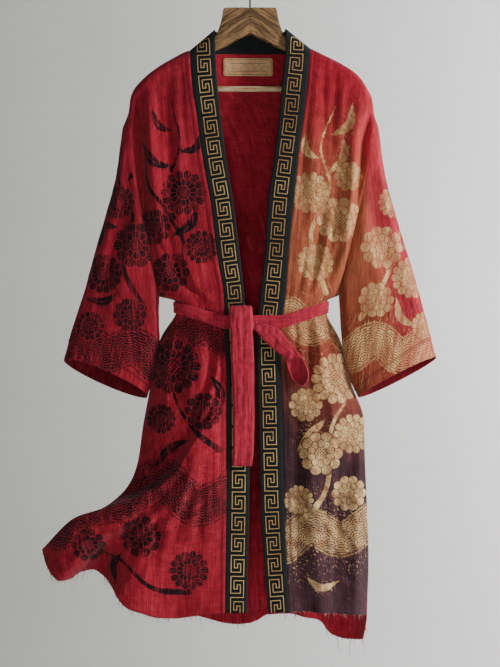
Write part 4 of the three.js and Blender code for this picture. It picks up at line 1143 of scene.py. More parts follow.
def make_collar(settings):
    """The collar band: its two fronts and the stretch behind the neck."""
    patterned = band_finish("collar_meander", True)
    plain = band_finish("collar_twill", False)
    for side, name in ((RIGHT, "collar_right_front"), (LEFT, "collar_left_front")):
        across, row = np.meshgrid(np.linspace(0, 1, 19), panel_rows(side.front))
        points = band_point(side, across, row)
        puff = 1.6 * np.sin(np.pi * across) ** 0.5 * share_of(row, 0, 0.1)
        points[..., 1] -= puff + 0.5 * noise_on(points, (30, 30, 40), 33) * share_of(row, 0, 0.1)
        piece = surface("robe_" + name, points, flip=side is LEFT, band=True)
        thickened(piece, settings.band, patterned, plain)
        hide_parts(name)
    free = measured(NECK_FREE)
    halves = []
    for side in (RIGHT, LEFT):
        shares, across = np.meshgrid(np.linspace(1, 0, 50), np.linspace(0, 1, 15))
        seam = back_point(side, shares * collar_share(side), np.zeros(shares.shape))
        edge = stacked(side.way * read(free, "share", "out", shares), read(free, "share", "depth", shares),
                       -read(free, "share", "down", shares))
        halves.append(lerp(seam, edge, across[..., None]))
    points = np.concatenate((halves[0], halves[1][:, ::-1][:, 1:]), axis=1)
    piece = surface("robe_collar_back_neck", points)
    thickened(piece, settings.band, plain)
    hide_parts("collar_back_neck")


BELT_CLEARANCE = 1.0 + 0.3 + 0.3 + 1.5
BELT_LEVELS = np.linspace(0.03, 0.97, 25)
BELT_CREASE = 1.7
BELT_CROWN = 1.2
BELT_SMOOTHINGS = 6


def waist_loop(level):
    """The cloth's outline at one height of the belt, from the middle of the back round by the right."""
    row = 2 + level

    def line(maker, side, shares):
        return maker(side, shares, np.full(shares.shape, row))
    fine = toward_side(70)
    half_band = np.linspace(0.06, 0.97, 12)
    return np.concatenate((
        line(back_point, RIGHT, fine[:-1]), line(front_point, RIGHT, fine[:0:-1]),
        line(band_point, RIGHT, half_band), line(band_point, LEFT, half_band[::-1]),
        line(front_point, LEFT, fine[1:]), line(back_point, LEFT, fine[-2:0:-1])))


def make_belt_round(settings, finish):
    """The belt's turn round the waist."""
    loops = []
    for level in BELT_LEVELS:
        loop = waist_loop(level)
        step = np.roll(loop, -3, axis=0) - np.roll(loop, 3, axis=0)
        outward = np.stack((step[:, 1], -step[:, 0], np.zeros(len(loop))), axis=1)
        outward /= np.linalg.norm(outward, axis=1, keepdims=True)
        crown = BELT_CROWN * math.sin(math.pi * level) ** 0.5
        loops.append(loop + outward * (BELT_CLEARANCE + crown))
    points = np.array(loops)
    for _ in range(BELT_SMOOTHINGS):
        before, after = np.roll(points, 1, axis=1), np.roll(points, -1, axis=1)
        points[:, :, :2] = (before + points * 2 + after)[:, :, :2] / 4
    lengths = np.cumsum(np.linalg.norm(np.diff(points, axis=1, prepend=points[:, -1:]), axis=-1), axis=1)
    creases = noise_on(np.stack((lengths, lengths * 0, points[..., 2]), axis=-1), (75, 1, 6), 41)
    outward = grid_normals(np.concatenate((points, points[:, :1]), axis=1), True)[:, :-1]
    points -= outward * (BELT_CREASE * creases)[..., None]
    points = np.concatenate((points, points[:, :1]), axis=1)
    piece = surface("belt_round", points, ring=True)
    thickened(piece, settings.belt_thickness, finish)
    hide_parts("belt_loop")


# The belt's wrap over the knot and its long end, as one strip, from behind the wrap's top down
LONG_END = table(
    "down left right depth bulge",
    (690, -36, 0, 50.5, 0), (681, -37, 1, 52, 0), (677, -38, 2, 58, 1), (678, -39, 2.5, 65, 2),
    (684, -40, 3.5, 71, 3), (696, -40.5, 4.5, 74, 3), (712, -39.5, 5, 73.5, 3),
    (726, -38, 4.5, 70.5, 2.5), (738, -37.5, 5, 67, 2), (752, -37.5, 6, 65.5, 2),
    (768, -37, 6.5, 65, 2), (800, -35.5, 7.5, 64, 2), (840, -34, 7.5, 64, 1.8),
    (880, -32.5, 8, 64.5, 1.8), (920, -32, 7.5, 65, 1.6), (960, -33, 6.5, 65.5, 1.4),
    (992, -35, 3, 66, 1.2))
SHORT_END = table(
    "x1 down1 depth1 x2 down2 depth2 bulge",
    (5.4, 720, 58, 24, 712, 53, 2), (14, 727, 58.5, 40, 716, 54, 3), (24, 740, 59, 56, 722, 56, 3.5),
    (42, 757, 61, 74, 744, 61, 3), (58, 770, 64, 88, 760, 65, 2.6), (70, 778, 66, 101, 776, 68, 1.6),
    (71, 782, 61, 103, 780, 66.5, -5), (75, 799, 60, 110, 795, 70.5, -13),
    (81, 816, 60, 114, 808, 73, -16), (91, 828, 62, 113.5, 820, 74.5, -11), (102, 834, 67, 108, 830, 73, -1))


def strip(rows, corners, count, across_count):
    """A strip between two edges, whose bulge is how far its middle stands out."""
    numbered = {**rows, "row": np.arange(len(rows["bulge"]), dtype=float)}
    across, row = np.meshgrid(np.linspace(0, 1, across_count), np.linspace(0, len(rows["bulge"]) - 1, count))

    def at(name):
        return read(numbered, "row", name, row)
    (x1, down1, depth1), (x2, down2, depth2) = corners
    bulge = at("bulge") * np.sin(np.pi * across) ** 0.7
    return stacked(lerp(at(x1), at(x2), across), -lerp(at(depth1), at(depth2), across) - bulge,
                   -lerp(at(down1), at(down2), across))


# The hem along the belt's edges: how far in it is, and the depth and width of its groove
BELT_HEM = 4.0
BELT_GROOVE = 0.9


def belt_creased(points, seed, amount):
    """A strip of the belt with creases along it and a groove at each hem."""
    lengthwise = noise_on(points, (9, 20, 120), seed)
    small = noise_on(points, (7, 9, 10), seed + 1)
    share = np.linspace(0, 1, points.shape[1])
    fade = share_of(share, 0, 0.12) * share_of(1 - share, 0, 0.12)
    moved = amount * (lengthwise + 0.5 * small) * (0.3 + 0.7 * fade)
    width = np.linalg.norm(points[:, -1:] - points[:, :1], axis=-1)
    from_edge = np.minimum(share, 1 - share) * width
    groove = BELT_GROOVE * np.exp(-((from_edge - BELT_HEM) / BELT_GROOVE) ** 2)
    return points - (moved - groove)[..., None] * grid_normals(points, False)


# The long end's crease across it: how far down, its lean and its depth, and how far the edges turn back
LONG_END_CREASE = 791.0
LONG_END_LEAN = 0.12
LONG_END_SINK = 3.2
LONG_END_EDGES = 2.4


def make_belt_ends(settings, finish):
    """The wrap with the long end, and the short end."""
    points = strip(LONG_END, (("left", "down", "depth"), ("right", "down", "depth")), 230, 61)
    points[..., 1] += LONG_END_EDGES * np.abs(np.linspace(-1, 1, 61)) ** 6
    below = -points[..., 2] - LONG_END_CREASE - LONG_END_LEAN * points[..., 0]
    points[..., 1] += LONG_END_SINK * np.where(below > 0, np.exp(-below / 5), np.exp(below / 1.2))
    piece = surface("belt_wrap_and_long_end", belt_creased(points, 51, 2.2))
    thickened(piece, settings.belt_thickness, finish)
    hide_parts("belt_tail_long")
    points = strip(SHORT_END, (("x1", "down1", "depth1"), ("x2", "down2", "depth2")), 140, 55)
    piece = surface("belt_short_end", belt_creased(points, 57, 1.8))
    thickened(piece, settings.belt_thickness, finish)
    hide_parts("belt_tail_short")


# The core of the knot, behind the wrap
KNOT_CORE = table(
    "down left right back front",
    (682, -32, -4, 51, 56), (685, -35, -1, 50.4, 62), (692, -36.5, 1.5, 50.2, 67),
    (704, -36, 4, 50.2, 69), (716, -35, 8, 50.2, 68), (726, -33, 6, 50.4, 63), (732, -31, 1, 51, 58))


def make_knot(finish):
    """The knot's core behind the wrap, closed at both ends."""
    numbered = {**KNOT_CORE, "row": np.arange(7.0)}
    angle, row = np.meshgrid(np.linspace(0, 2 * np.pi, 49), np.linspace(0, 6, 60))

    def at(name):
        return read(numbered, "row", name, row)
    cosine, sine = np.cos(angle), np.sin(angle)
    wide = np.sign(cosine) * np.abs(cosine) ** 0.6
    deep = np.sign(sine) * np.abs(sine) ** 0.7
    x = lerp(at("left"), at("right"), (1 + wide) / 2)
    y = -lerp(at("back"), at("front"), (1 + deep) / 2)
    points = stacked(x, y, -at("down"))
    folds = noise_on(points, (30, 30, 6), 61)
    points[..., 0] += 1.2 * folds * wide
    points[:, -1] = points[:, 0]
    piece = surface("belt_knot_core", capped(points), ring=True, flip=True)
    piece.data.materials.append(finish)
    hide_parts("belt_knot")


LABEL_CORNER = 5.0
LABEL_RISE = 4.0
LABEL_CLEARANCE = 2.1
LABEL_THICKNESS = 1.3
STITCH_LENGTH = 2.6
STITCH_GAP = 1.6
STITCH_INSET = 3.0
STITCH_LIFT = 0.9
STITCH_RADIUS = 0.45

# The label's two plain lines in metres: how far down they are, and how far out, wide and soft
LABEL_LINES = (0.188, 0.203)
LABEL_LINE_REACH = 0.034
LABEL_LINE_HALF = 0.0006
LABEL_LINE_SOFT = 0.0003


def leather_finish():
    settings = bpy.context.scene.robe
    finish = Finish("label_leather", roughness=0.62, specular=0.35)
    place = finish.coordinates()
    grain = finish.noise(place, 900, 3.0, 0.6)
    cells = finish.node("TexVoronoi", {"feature": "DISTANCE_TO_EDGE"},
                        {"Vector": place, "Scale": 700.0}, "Distance")
    mottle = finish.noise(place, 260, 5.0, 0.75)
    colour = finish.mix(mottle.above(0.5, 0.16), settings.leather_deep, settings.leather)
    colour = finish.mix(grain.below(0.4, 0.08) * 0.5, colour, rgb(96, 62, 36))
    x, _, z = finish.parts(place)
    inside = abs(x + 0.004).below(LABEL_LINE_REACH, 0.001)
    first, second = [abs(z + down).below(LABEL_LINE_HALF, LABEL_LINE_SOFT) for down in LABEL_LINES]
    ruled = first.most(second)
    colour = finish.mix(ruled * inside * 0.8, colour, rgb(72, 46, 28))
    height = grain * 0.5 + cells.above(0.06, 0.06) - ruled * inside
    return finish.surface(colour, height=height, depth=0.0002, strength=0.8)


def thread_finish():
    finish = Finish("stitching_thread", roughness=0.8, sheen=0.1, specular=0.2)
    colour = finish.mix(finish.noise(finish.coordinates(), 1200, 1.0), rgb(70, 42, 24), rgb(112, 74, 44))
    return finish.surface(colour)


def make_label():
    """The leather patch inside the back neck, with two plain lines and a stitched border."""
    low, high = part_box("label")
    low, high = np.array(low) / MM, np.array(high) / MM
    low[2] += LABEL_RISE
    high[2] += LABEL_RISE
    x, down = np.meshgrid(np.linspace(low[0], high[0], 60), np.linspace(-high[2], -low[2], 24))
    middle = (low[0] + high[0]) / 2
    half_width, half_height = (high[0] - low[0]) / 2, (high[2] - low[2]) / 2
    from_end = np.minimum(down + high[2], -low[2] - down)
    into_corner = np.clip(LABEL_CORNER - from_end, 0, None)
    inset = LABEL_CORNER - np.sqrt(np.clip(LABEL_CORNER ** 2 - into_corner ** 2, 0, None))
    x = middle + (x - middle) * (half_width - inset) / half_width
    y = back_inside(x, down) - LABEL_CLEARANCE
    points = stacked(x, y, -down)
    piece = surface("neck_label", points)
    thickened(piece, LABEL_THICKNESS * MM, leather_finish())
    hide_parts("label")
    path = rounded_border(half_width - STITCH_INSET, half_height - STITCH_INSET, LABEL_CORNER - 2)
    shape = bmesh.new()
    middle_down = -(low[2] + high[2]) / 2
    for start, end in dashes(path, STITCH_LENGTH, STITCH_GAP):
        ends = []
        for point in (start, end):
            px, pd = middle + point[0], middle_down + point[1]
            py = float(back_inside(np.array([px]), np.array([pd]))[0]) - LABEL_CLEARANCE - STITCH_LIFT
            ends.append((px, py, -pd))
        add_stitch(shape, *ends, STITCH_RADIUS)
    stitches = finished("neck_label_stitching", shape)
    stitches.data.materials.append(thread_finish())


def back_inside(x, down):
    """The back's middle surface at a place near the neck, by a weighted mean of its fine points."""
    cloud = []
    for side in (RIGHT, LEFT):
        across, row = np.meshgrid(np.linspace(0, 0.45, 60), np.linspace(0, 0.22, 60))
        cloud.append(back_point(side, across, row).reshape(-1, 3))
    cloud = np.concatenate(cloud)
    gap = np.hypot(np.asarray(x)[..., None] - cloud[:, 0], np.asarray(down)[..., None] + cloud[:, 2])
    weight = np.exp(-(gap / 4) ** 2) + 1e-12
    return (weight * cloud[:, 1]).sum(axis=-1) / weight.sum(axis=-1)


def rounded_border(half_x, half_y, radius, steps=6):
    """The points of a rounded rectangle about the middle."""
    points = []
    for corner, (sx, sy) in enumerate(((1, 1), (-1, 1), (-1, -1), (1, -1))):
        for q in range(steps + 1):
            angle = math.pi / 2 * (corner + q / steps)
            points.append((sx * (half_x - radius) + radius * math.cos(angle),
                           sy * (half_y - radius) + radius * math.sin(angle)))
    return points + points[:1]


def dashes(path, length, gap):
    """Cuts a path into stitches, as pairs of points."""
    steps = np.concatenate(([0], np.cumsum([math.dist(a, b) for a, b in zip(path[:-1], path[1:])])))
    count = int(steps[-1] / (length + gap))
    pitch = steps[-1] / count
    axes = np.array(path).T
    for i in range(count):
        yield tuple(tuple(np.interp(at, steps, axis) for axis in axes)
                    for at in (i * pitch, i * pitch + length))


def add_stitch(shape, start, end, radius):
    """One stitch: a small rounded bar between two points in millimetres."""
    start, end = Vector(start), Vector(end)
    way = end - start
    turn = Vector((0, 0, 1)).rotation_difference(way).to_matrix().to_4x4()
    turn.translation = (start + end) / 2 * MM
    made = bmesh.ops.create_cone(shape, cap_ends=True, segments=6, radius1=radius * MM,
                                 radius2=radius * MM, depth=way.length * MM, matrix=turn)
    for face in {face for vertex in made["verts"] for face in vertex.link_faces}:
        face.smooth = True


# The hanger, half of it from the middle out
HANGER = table(
    "out top bottom half corner",
    (0, 80.3, 131, 12, 2), (26, 80.2, 144, 12, 2), (50, 80.5, 157, 11.6, 2), (53, 82, 158, 11.5, 2.2),
    (54.5, 90, 158.6, 11.3, 2.5), (56, 100, 159.5, 11, 2.5), (59, 112, 161, 10.5, 3),
    (63, 124, 163, 10, 4), (68, 133, 165.5, 9.5, 5), (76, 139, 169, 9, 7), (96, 150, 179, 8.5, 8),
    (116, 167.5, 188, 8.5, 8), (159, 186.2, 209, 8.5, 8), (190, 206, 224, 8.5, 8),
    (197.2, 212, 229, 8.5, 7.5), (199, 213.5, 250, 8.5, 7.5), (208, 221, 252, 8.5, 7.5),
    (215, 230, 251, 7, 6.5), (219, 237, 248, 4, 3.5))


def grain_height(points):
    """Weathered grain: long lines that rise to a peak at the middle joint."""
    x, z = points[..., 0], points[..., 2]
    bent = z + 0.62 * np.sqrt(x * x + 16) * (np.abs(x) < 75) + 0.56 * np.abs(x) * (np.abs(x) >= 75)
    drift = 6 * noise_on(points, (50, 40, 20), 71) + 3 * noise_on(points, (16, 12, 7), 72)
    return np.abs(np.sin((bent + drift) * math.pi / 8.5))


def make_block_and_arms(settings):
    """The hanger's block and arms, carved with open grain."""
    arm = np.linspace(55, HANGER["out"][-1], 120)
    out = np.concatenate((-arm[::-1], np.linspace(-54.5, 54.5, 90), arm))
    stations = {name: np.interp(np.abs(out), HANGER["out"], HANGER[name]) for name in HANGER}
    turns = np.linspace(0, 1, 97)
    quarter = np.minimum((turns * 4).astype(int), 3)
    angle = turns * 2 * np.pi
    sign_y = np.where((quarter == 0) | (quarter == 3), 1, -1)
    sign_z = np.where(quarter < 2, 1, -1)
    half, corner = stations["half"][:, None], stations["corner"][:, None]
    top, bottom = -stations["top"][:, None], -stations["bottom"][:, None]
    y = (half - corner) * sign_y + corner * np.cos(angle)
    z = np.where(sign_z > 0, top - corner, bottom + corner) + corner * np.sin(angle)
    ring = evened(stacked(out[:, None], y, z))
    lines = grain_height(ring)
    joint = np.exp(-(ring[..., 0] / 0.9) ** 2) * (np.abs(ring[..., 0]) < 5)
    sunk = settings.groove / MM * (1 - share_of(lines, 0.0, 0.42)) + 0.8 * joint
    centre = ring.mean(axis=1, keepdims=True)
    inward = centre - ring
    inward[..., 0] = 0
    inward /= np.linalg.norm(inward, axis=-1, keepdims=True)
    ring = ring + inward * sunk[..., None]
    piece = surface("hanger_block_and_arms", capped(ring), ring=True)
    carved = np.concatenate((sunk[:1], sunk, sunk[-1:])) / sunk.max()
    layer = piece.data.attributes.new("carved", "FLOAT", "POINT")
    layer.data.foreach_set("value", by_vertex(piece, carved).astype(np.float32))
    piece.data.materials.append(wood_finish("hanger_wood", settings.wood, settings.wood_deep, True))
    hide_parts("hanger_body")


def make_bar(settings):
    """The hanger's trouser bar, a little uneven like whittled wood."""
    low, high = (np.array(corner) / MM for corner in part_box("hanger_bar"))
    angle, x = np.meshgrid(np.linspace(0, 2 * np.pi, 33), np.linspace(low[0], high[0], 90))
    radius = (high[2] - low[2]) / 2 - 0.25 + 0.2 * noise_on(stacked(x, angle * 4, 0), (50, 9, 1), 75)
    radius[:, -1] = radius[:, 0]
    bar = stacked(x, radius * np.cos(angle), (low[2] + high[2]) / 2 + radius * np.sin(angle))
    piece = surface("hanger_trouser_bar", capped(bar), ring=True)
    piece.data.materials.append(wood_finish("hanger_bar_wood", settings.wood_pale, settings.wood, False))
    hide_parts("hanger_bar")


def wire_hook():
    """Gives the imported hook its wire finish."""
    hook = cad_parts["hook"]
    hook.data.materials.clear()
    hook.data.materials.append(wire_finish())


def evened(ring):
    """Spaces the points of each ring evenly along it."""
    even = np.empty_like(ring)
    for i, one in enumerate(ring):
        lengths = np.concatenate(([0], np.cumsum(np.linalg.norm(np.diff(one, axis=0), axis=1))))
        places = np.linspace(0, lengths[-1], len(one))
        for axis in range(3):
            even[i, :, axis] = np.interp(places, lengths, one[:, axis])
    return even


def wood_finish(name, light, dark, peaked):
    """Weathered wood, whose grain peaks at the middle joint where the carved lines do."""
    finish = Finish(name, roughness=0.66, specular=0.25)
    place = finish.coordinates()
    x, y, z = finish.parts(place)
    bent = z + (x * x + 0.000016).math("SQRT") * 0.62 if peaked else z
    along = finish.joined(abs(x) * 0.12, y * 0.5, bent)
    fine = finish.noise(along, 420, 4.0, 0.65)
    broad = finish.noise(along, 110, 3.0, 0.6)
    colour = finish.mix(broad.above(0.5, 0.16), dark, light)
    colour = finish.mix(fine.below(0.45, 0.12) * 0.45, colour, dark)
    cracks = finish.noise(along, 190, 5.0, 0.7).below(0.4, 0.05)
    if peaked:
        carved = finish.node("Attribute", {"attribute_name": "carved"}, {}, "Fac")
        cracks = cracks.most(carved.above(0.45, 0.3))
    colour = finish.mix(cracks * (0.9 if peaked else 0.35), colour, rgb(26, 17, 11))
    height = fine * 0.6 - cracks
    return finish.surface(colour, height=height, depth=0.0006, strength=0.9)


def wire_finish():
    finish = Finish("hook_wire", roughness=0.38, metallic=1.0, specular=0.5)
    place = finish.coordinates()
    wear = finish.noise(place, 240, 3.0)
    colour = finish.mix(wear, rgb(20, 20, 22), rgb(62, 62, 66))
    return finish.surface(colour, roughness=wear * 0.3 + 0.25)


# Loose threads at the hems: how many short ones a metre, and the long ones by place and length
SHORT_THREADS = 430
THREAD_SEED = 7
SHORT_RADIUS = 0.42
LONG_RADIUS = 0.8
LONG_THREADS = {
    "front_right": ((0.72, 26), (0.62, 18), (0.5, 16), (0.43, 12), (0.9, 22), (0.3, 14), (0.16, 12)),
    "front_left": ((0.2, 10), (0.46, 8), (0.7, 9), (0.9, 12)),
    "back_right": ((0.12, 14), (0.42, 12), (0.66, 15), (0.85, 18)),
    "back_left": ((0.12, 12), (0.28, 20), (0.58, 26), (0.68, 34), (0.78, 44), (0.88, 30), (0.95, 18)),
}


def add_thread(shape, start, way, length, radius, curl, seed):
    """One loose thread, as a thin three-sided tube that curls as it goes."""
    steps = 4 if length < 9 else 9
    spot = Vector(start)
    path = [spot.copy()]
    heading = Vector(way).normalized()
    for i in range(steps):
        bend = noise.noise_vector(Vector((seed * 7.1, i * 0.55, seed * 1.7)))
        heading = (heading + bend * curl + Vector((0, 0, -0.15))).normalized()
        spot = spot + heading * (length / steps)
        path.append(spot.copy())
    made = bmesh.ops.create_grid(shape, x_segments=3, y_segments=steps, size=1)["verts"]
    for vertex in made:
        r = round((1 - vertex.co.y) / 2 * steps)
        c = round((vertex.co.x + 1) / 2 * 3)
        angle = c % 3 * math.tau / 3
        thin = radius * (1 - 0.75 * r / steps)
        aside = Vector((math.cos(angle), math.sin(angle), 0)) * thin
        vertex.co = (path[r] + aside) * MM
    bmesh.ops.remove_doubles(shape, verts=made, dist=1e-8)


def make_fray(settings, finish, ombre):
    """The frayed hems: short threads all along, and the long loose ones."""
    hems = (("front_right", RIGHT, front_point, RIGHT_FRONT, finish),
            ("front_left", LEFT, front_point, LEFT_FRONT, ombre),
            ("back_right", RIGHT, back_point, BACK_RIGHT, finish),
            ("back_left", LEFT, back_point, BACK_LEFT, finish))
    noise.seed_set(THREAD_SEED)
    for number, (name, side, maker, rows, paint) in enumerate(hems):
        random = np.random.default_rng(100 + number)
        shares = np.linspace(0.005, 0.995, 200)
        edge = maker(side, shares, np.full(200, float(len(rows["row"]))))
        length = np.linalg.norm(np.diff(edge, axis=0), axis=1).sum()
        shape = bmesh.new()

        def on_hem(place):
            return [np.interp(place, shares, edge[:, axis]) for axis in range(3)]
        for i in range(int(SHORT_THREADS * length * MM)):
            start = on_hem(random.random())
            start[1] += random.normal(0, 0.4)
            start[2] += 0.8
            way = (random.normal(0, 0.45), random.normal(0, 0.35), -1)
            long = random.gamma(2.2, settings.fray / MM / 3)
            add_thread(shape, start, way, long, SHORT_RADIUS, 0.5, i + 0.5)
        for i, (place, long) in enumerate(LONG_THREADS[name]):
            start = on_hem(place)
            start[2] += 1.0
            way = (random.normal(0, 0.5), random.normal(0, 0.2), -1)
            add_thread(shape, start, way, long, LONG_RADIUS, 0.55, i * 3.7 + number)
        piece = finished("fray_" + name, shape)
        piece.data.materials.append(paint)
        "robe_ombre" if name == "front_left" else "robe_red"


def fray_finish(name, light, dark):
    finish = Finish(name, roughness=0.9, sheen=0.1, specular=0.1)
    return finish.surface(finish.mix(finish.noise(finish.coordinates(), 90, 2.0), dark, light))


FRAME_HEIGHT = 1.334
CAMERA_DISTANCE = 4.0
CAMERA_DOWN = 0.731
SENSOR_HEIGHT = 24.0


def make_camera():
    lens = bpy.data.cameras.new("camera")
    lens.sensor_fit = "VERTICAL"
    lens.sensor_height = SENSOR_HEIGHT
    lens.lens = SENSOR_HEIGHT * CAMERA_DISTANCE / FRAME_HEIGHT
    camera = linked("camera", lens)
    camera.location = (0, -CAMERA_DISTANCE, -CAMERA_DOWN)
    camera.rotation_euler = (math.pi / 2, 0, 0)
    bpy.context.scene.camera = camera


def soft_light(name, place, aim, size, power):
    lamp = bpy.data.lights.new(name, "AREA")
    lamp.shape = "RECTANGLE"
    lamp.size, lamp.size_y = size
    lamp.energy = power
    light = linked(name, lamp)
    light.location = place
    light.rotation_euler = (Vector(aim) - Vector(place)).to_track_quat("-Z", "Y").to_euler()


# The backdrop's paper in metres: its reach, its wall's place, its curve's radius and the reach of the
# painted shade that darkens it towards the left
PAPER_REACH = 7.0
PAPER_WALL = 1.9
PAPER_CURVE = 1.1
PAPER_PAINTED_SHADE_REACH = 0.9


def make_backdrop(settings):
    """A pale floor that curves up into a wall behind the robe, with painted shade towards the left, and that
    can't be seen from behind.
    """
    floor = -settings.floor_drop
    turn = np.linspace(0, math.pi / 2, 25)
    y = np.concatenate(([-PAPER_REACH], PAPER_WALL + PAPER_CURVE * (np.sin(turn) - 1), [PAPER_WALL]))
    z = np.concatenate(([floor], floor + PAPER_CURVE * (1 - np.cos(turn)), [floor + PAPER_REACH]))
    x = np.linspace(-PAPER_REACH, PAPER_REACH, 3)
    points = np.stack(np.broadcast_arrays(x[None, :], y[:, None], z[:, None]), axis=-1) / MM
    shape = bmesh.new()
    gridded(shape, points[::-1])
    backdrop = linked("backdrop", meshed("backdrop", shape))
    finish = Finish("backdrop_paper", roughness=0.95, specular=0.1)
    place = finish.coordinates()
    x, _, _ = finish.parts(place)
    cloud = finish.noise(place, 1.2, 2.0) * 0.3
    # Painted light and shade: the paper goes from the darker shade colour at the left to the lighter grey at
    # the right, with soft lumps, standing in for the key light falling off across it.
    across = (x + PAPER_PAINTED_SHADE_REACH) / (2 * PAPER_PAINTED_SHADE_REACH) + cloud - 0.15
    colour = finish.mix(across.most(0.0).least(1.0), settings.shade, settings.grey)
    seen = 1 - finish.node("NewGeometry", {}, {}, "Backfacing")
    finish.tree.links.new(seen.socket, finish.shader.inputs["Alpha"])
    backdrop.data.materials.append(finish.surface(colour))


def make_lights(settings):
    world = bpy.context.scene.world or bpy.data.worlds.new("studio")
    bpy.context.scene.world = world
    world.use_nodes = True
    sky = world.node_tree.nodes["Background"]
    sky.inputs["Color"].default_value = (0.9, 0.92, 0.94, 1)
    sky.inputs["Strength"].default_value = settings.fill
    soft_light("key", (3.1, -1.5, 0.5), (0, 0, -0.75), (0.7, 1.2), settings.key)
    soft_light("front", (-0.2, -3.8, -0.9), (0, 0, -0.8), (1.2, 1.2), settings.key * 0.22)
    soft_light("wall_wash", (3.4, 0.4, -0.8), (0.7, 1.9, -0.8), (0.6, 2.2), settings.key * 0.75)


def colour_of(name, description, default):
    return bpy.props.FloatVectorProperty(
        name=name, description=description, default=default, subtype="COLOR", size=4, min=0, max=1)


def length_of(name, description, default):
    return bpy.props.FloatProperty(
        name=name, description=description, default=default, unit="LENGTH", subtype="DISTANCE")


class RobeSettings(bpy.types.PropertyGroup):
    """Sizes and colours of the robe, its collar, belt and label."""

    cloth: length_of("Cloth", "Thickness of the linen as it shows", 1.4 * MM)
    band: length_of("Band", "Thickness of the doubled collar band", 1.8 * MM)
    belt_thickness: length_of("Belt", "Thickness of the folded belt", 2.8 * MM)
    fray: length_of("Fray", "Usual length of the hems' short threads", 8 * MM)
    red: colour_of("Red", "Crimson of the linen", rgb(168, 38, 54))
    red_deep: colour_of("Deep red", "Darker crimson of the linen", rgb(128, 25, 38))
    # Painted shade: a dark crimson for the inner faces of the sleeves, standing in for the shade within
    # them.
    sleeve_painted_shade: colour_of("Sleeve Shade", "Darkest crimson, inside the sleeves", rgb(60, 8, 15))
    belt: colour_of("Belt", "Lighter crimson of the belt", rgb(158, 46, 66))
    ink: colour_of("Ink", "Black of the print", rgb(9, 9, 11))
    ink_worn: colour_of("Worn ink", "Black of the print where it is worn", rgb(30, 22, 25))
    gold: colour_of("Gold", "Gold of the print and the meander", rgb(230, 196, 138))
    gold_deep: colour_of("Deep gold", "Darker gold of the print and the meander", rgb(156, 106, 62))
    charcoal: colour_of("Charcoal", "Twill of the collar band", rgb(34, 40, 41))
    leather: colour_of("Leather", "Tan of the label", rgb(214, 174, 130))
    leather_deep: colour_of("Deep leather", "Darker tan of the label", rgb(178, 134, 90))


class HangerSettings(bpy.types.PropertyGroup):
    """Colours of the hanger's wood, and how deep its grain is."""

    groove: length_of("Groove", "Depth of the open grain", 1.9 * MM)
    wood: colour_of("Wood", "Light lines of the wood", rgb(158, 122, 82))
    wood_deep: colour_of("Deep wood", "Dark lines of the wood", rgb(92, 66, 42))
    wood_pale: colour_of("Pale wood", "Wood of the bar", rgb(206, 178, 146))


class StageSettings(bpy.types.PropertyGroup):
    """The floor, the backdrop and the lights."""

    floor_drop: length_of("Floor", "How far the floor is below the hook", 1.75)
    # The two ends of the backdrop's painted gradient: lighter paper at the right and painted shade at the
    # left.
    grey: colour_of("Grey", "Paper of the backdrop at the right", rgb(250, 251, 251))
    shade: colour_of("Shade", "Paper of the backdrop at the left", rgb(192, 193, 184))
    key: bpy.props.FloatProperty(name="Key", description="Power of the main soft light", default=150,
                                 unit="POWER")
    fill: bpy.props.FloatProperty(name="Fill", description="Strength of the even light", default=0.15)


def robe_finishes():
    """The linens, made once and shared by the operators."""
    settings = bpy.context.scene.robe
    black = (tuple(settings.ink), tuple(settings.ink_worn))
    gold = (tuple(settings.gold_deep), tuple(settings.gold))
    makers = {
        "linen_red_printed": lambda name: linen(
            name, drifting(3.2, "red", "red_deep"), ink=black, seams=True),
        "linen_ombre_printed": lambda name: linen(name, ombre_ground, ink=gold, gold=True, seams=True),
        "linen_red_inside": lambda name: linen(name, drifting(5.0, "red_deep", "red")),
        # Painted shade: the sleeves' inner faces drift between the dark painted-shade crimson and the deep
        # red.
        "linen_sleeve_inside": lambda name: linen(name, drifting(5.0, "sleeve_painted_shade", "red_deep")),
        "linen_belt": lambda name: linen(name, drifting(9.0, "belt", "red")),
    }
    return {name: bpy.data.materials.get(name) or make(name) for name, make in makers.items()}


class ROBE_OT_back(bpy.types.Operator):
    """Make the back of the robe"""

    bl_idname = "robe.back"
    bl_label = "Back"

    def execute(self, context):
        linens = robe_finishes()
        make_back(context.scene.robe, linens["linen_red_printed"], linens["linen_red_inside"])
        return {"FINISHED"}


class ROBE_OT_fronts(bpy.types.Operator):
    """Make the two front panels"""

    bl_idname = "robe.fronts"
    bl_label = "Fronts"

    def execute(self, context):
        linens = robe_finishes()
        make_fronts(context.scene.robe, linens["linen_red_printed"], linens["linen_ombre_printed"],
                    linens["linen_red_inside"])
        return {"FINISHED"}


class ROBE_OT_sleeves(bpy.types.Operator):
    """Make the two sleeves"""

    bl_idname = "robe.sleeves"
    bl_label = "Sleeves"

    def execute(self, context):
        linens = robe_finishes()
        make_sleeves(context.scene.robe, linens["linen_red_printed"], linens["linen_ombre_printed"],
                     linens["linen_sleeve_inside"])
        return {"FINISHED"}


class ROBE_OT_collar(bpy.types.Operator):
    """Make the collar band with its meander"""

    bl_idname = "robe.collar"
    bl_label = "Collar Band"

    def execute(self, context):
        make_collar(context.scene.robe)
        return {"FINISHED"}


class ROBE_OT_belt(bpy.types.Operator):
    """Make the belt, its knot and its two ends"""

    bl_idname = "robe.belt"
    bl_label = "Belt"

    def execute(self, context):
        finish = robe_finishes()["linen_belt"]
        make_belt_round(context.scene.robe, finish)
        make_knot(finish)
        make_belt_ends(context.scene.robe, finish)
        return {"FINISHED"}


class ROBE_OT_label(bpy.types.Operator):
    """Make the leather label inside the neck"""

    bl_idname = "robe.label"
    bl_label = "Neck Label"

    def execute(self, context):
        make_label()
        return {"FINISHED"}


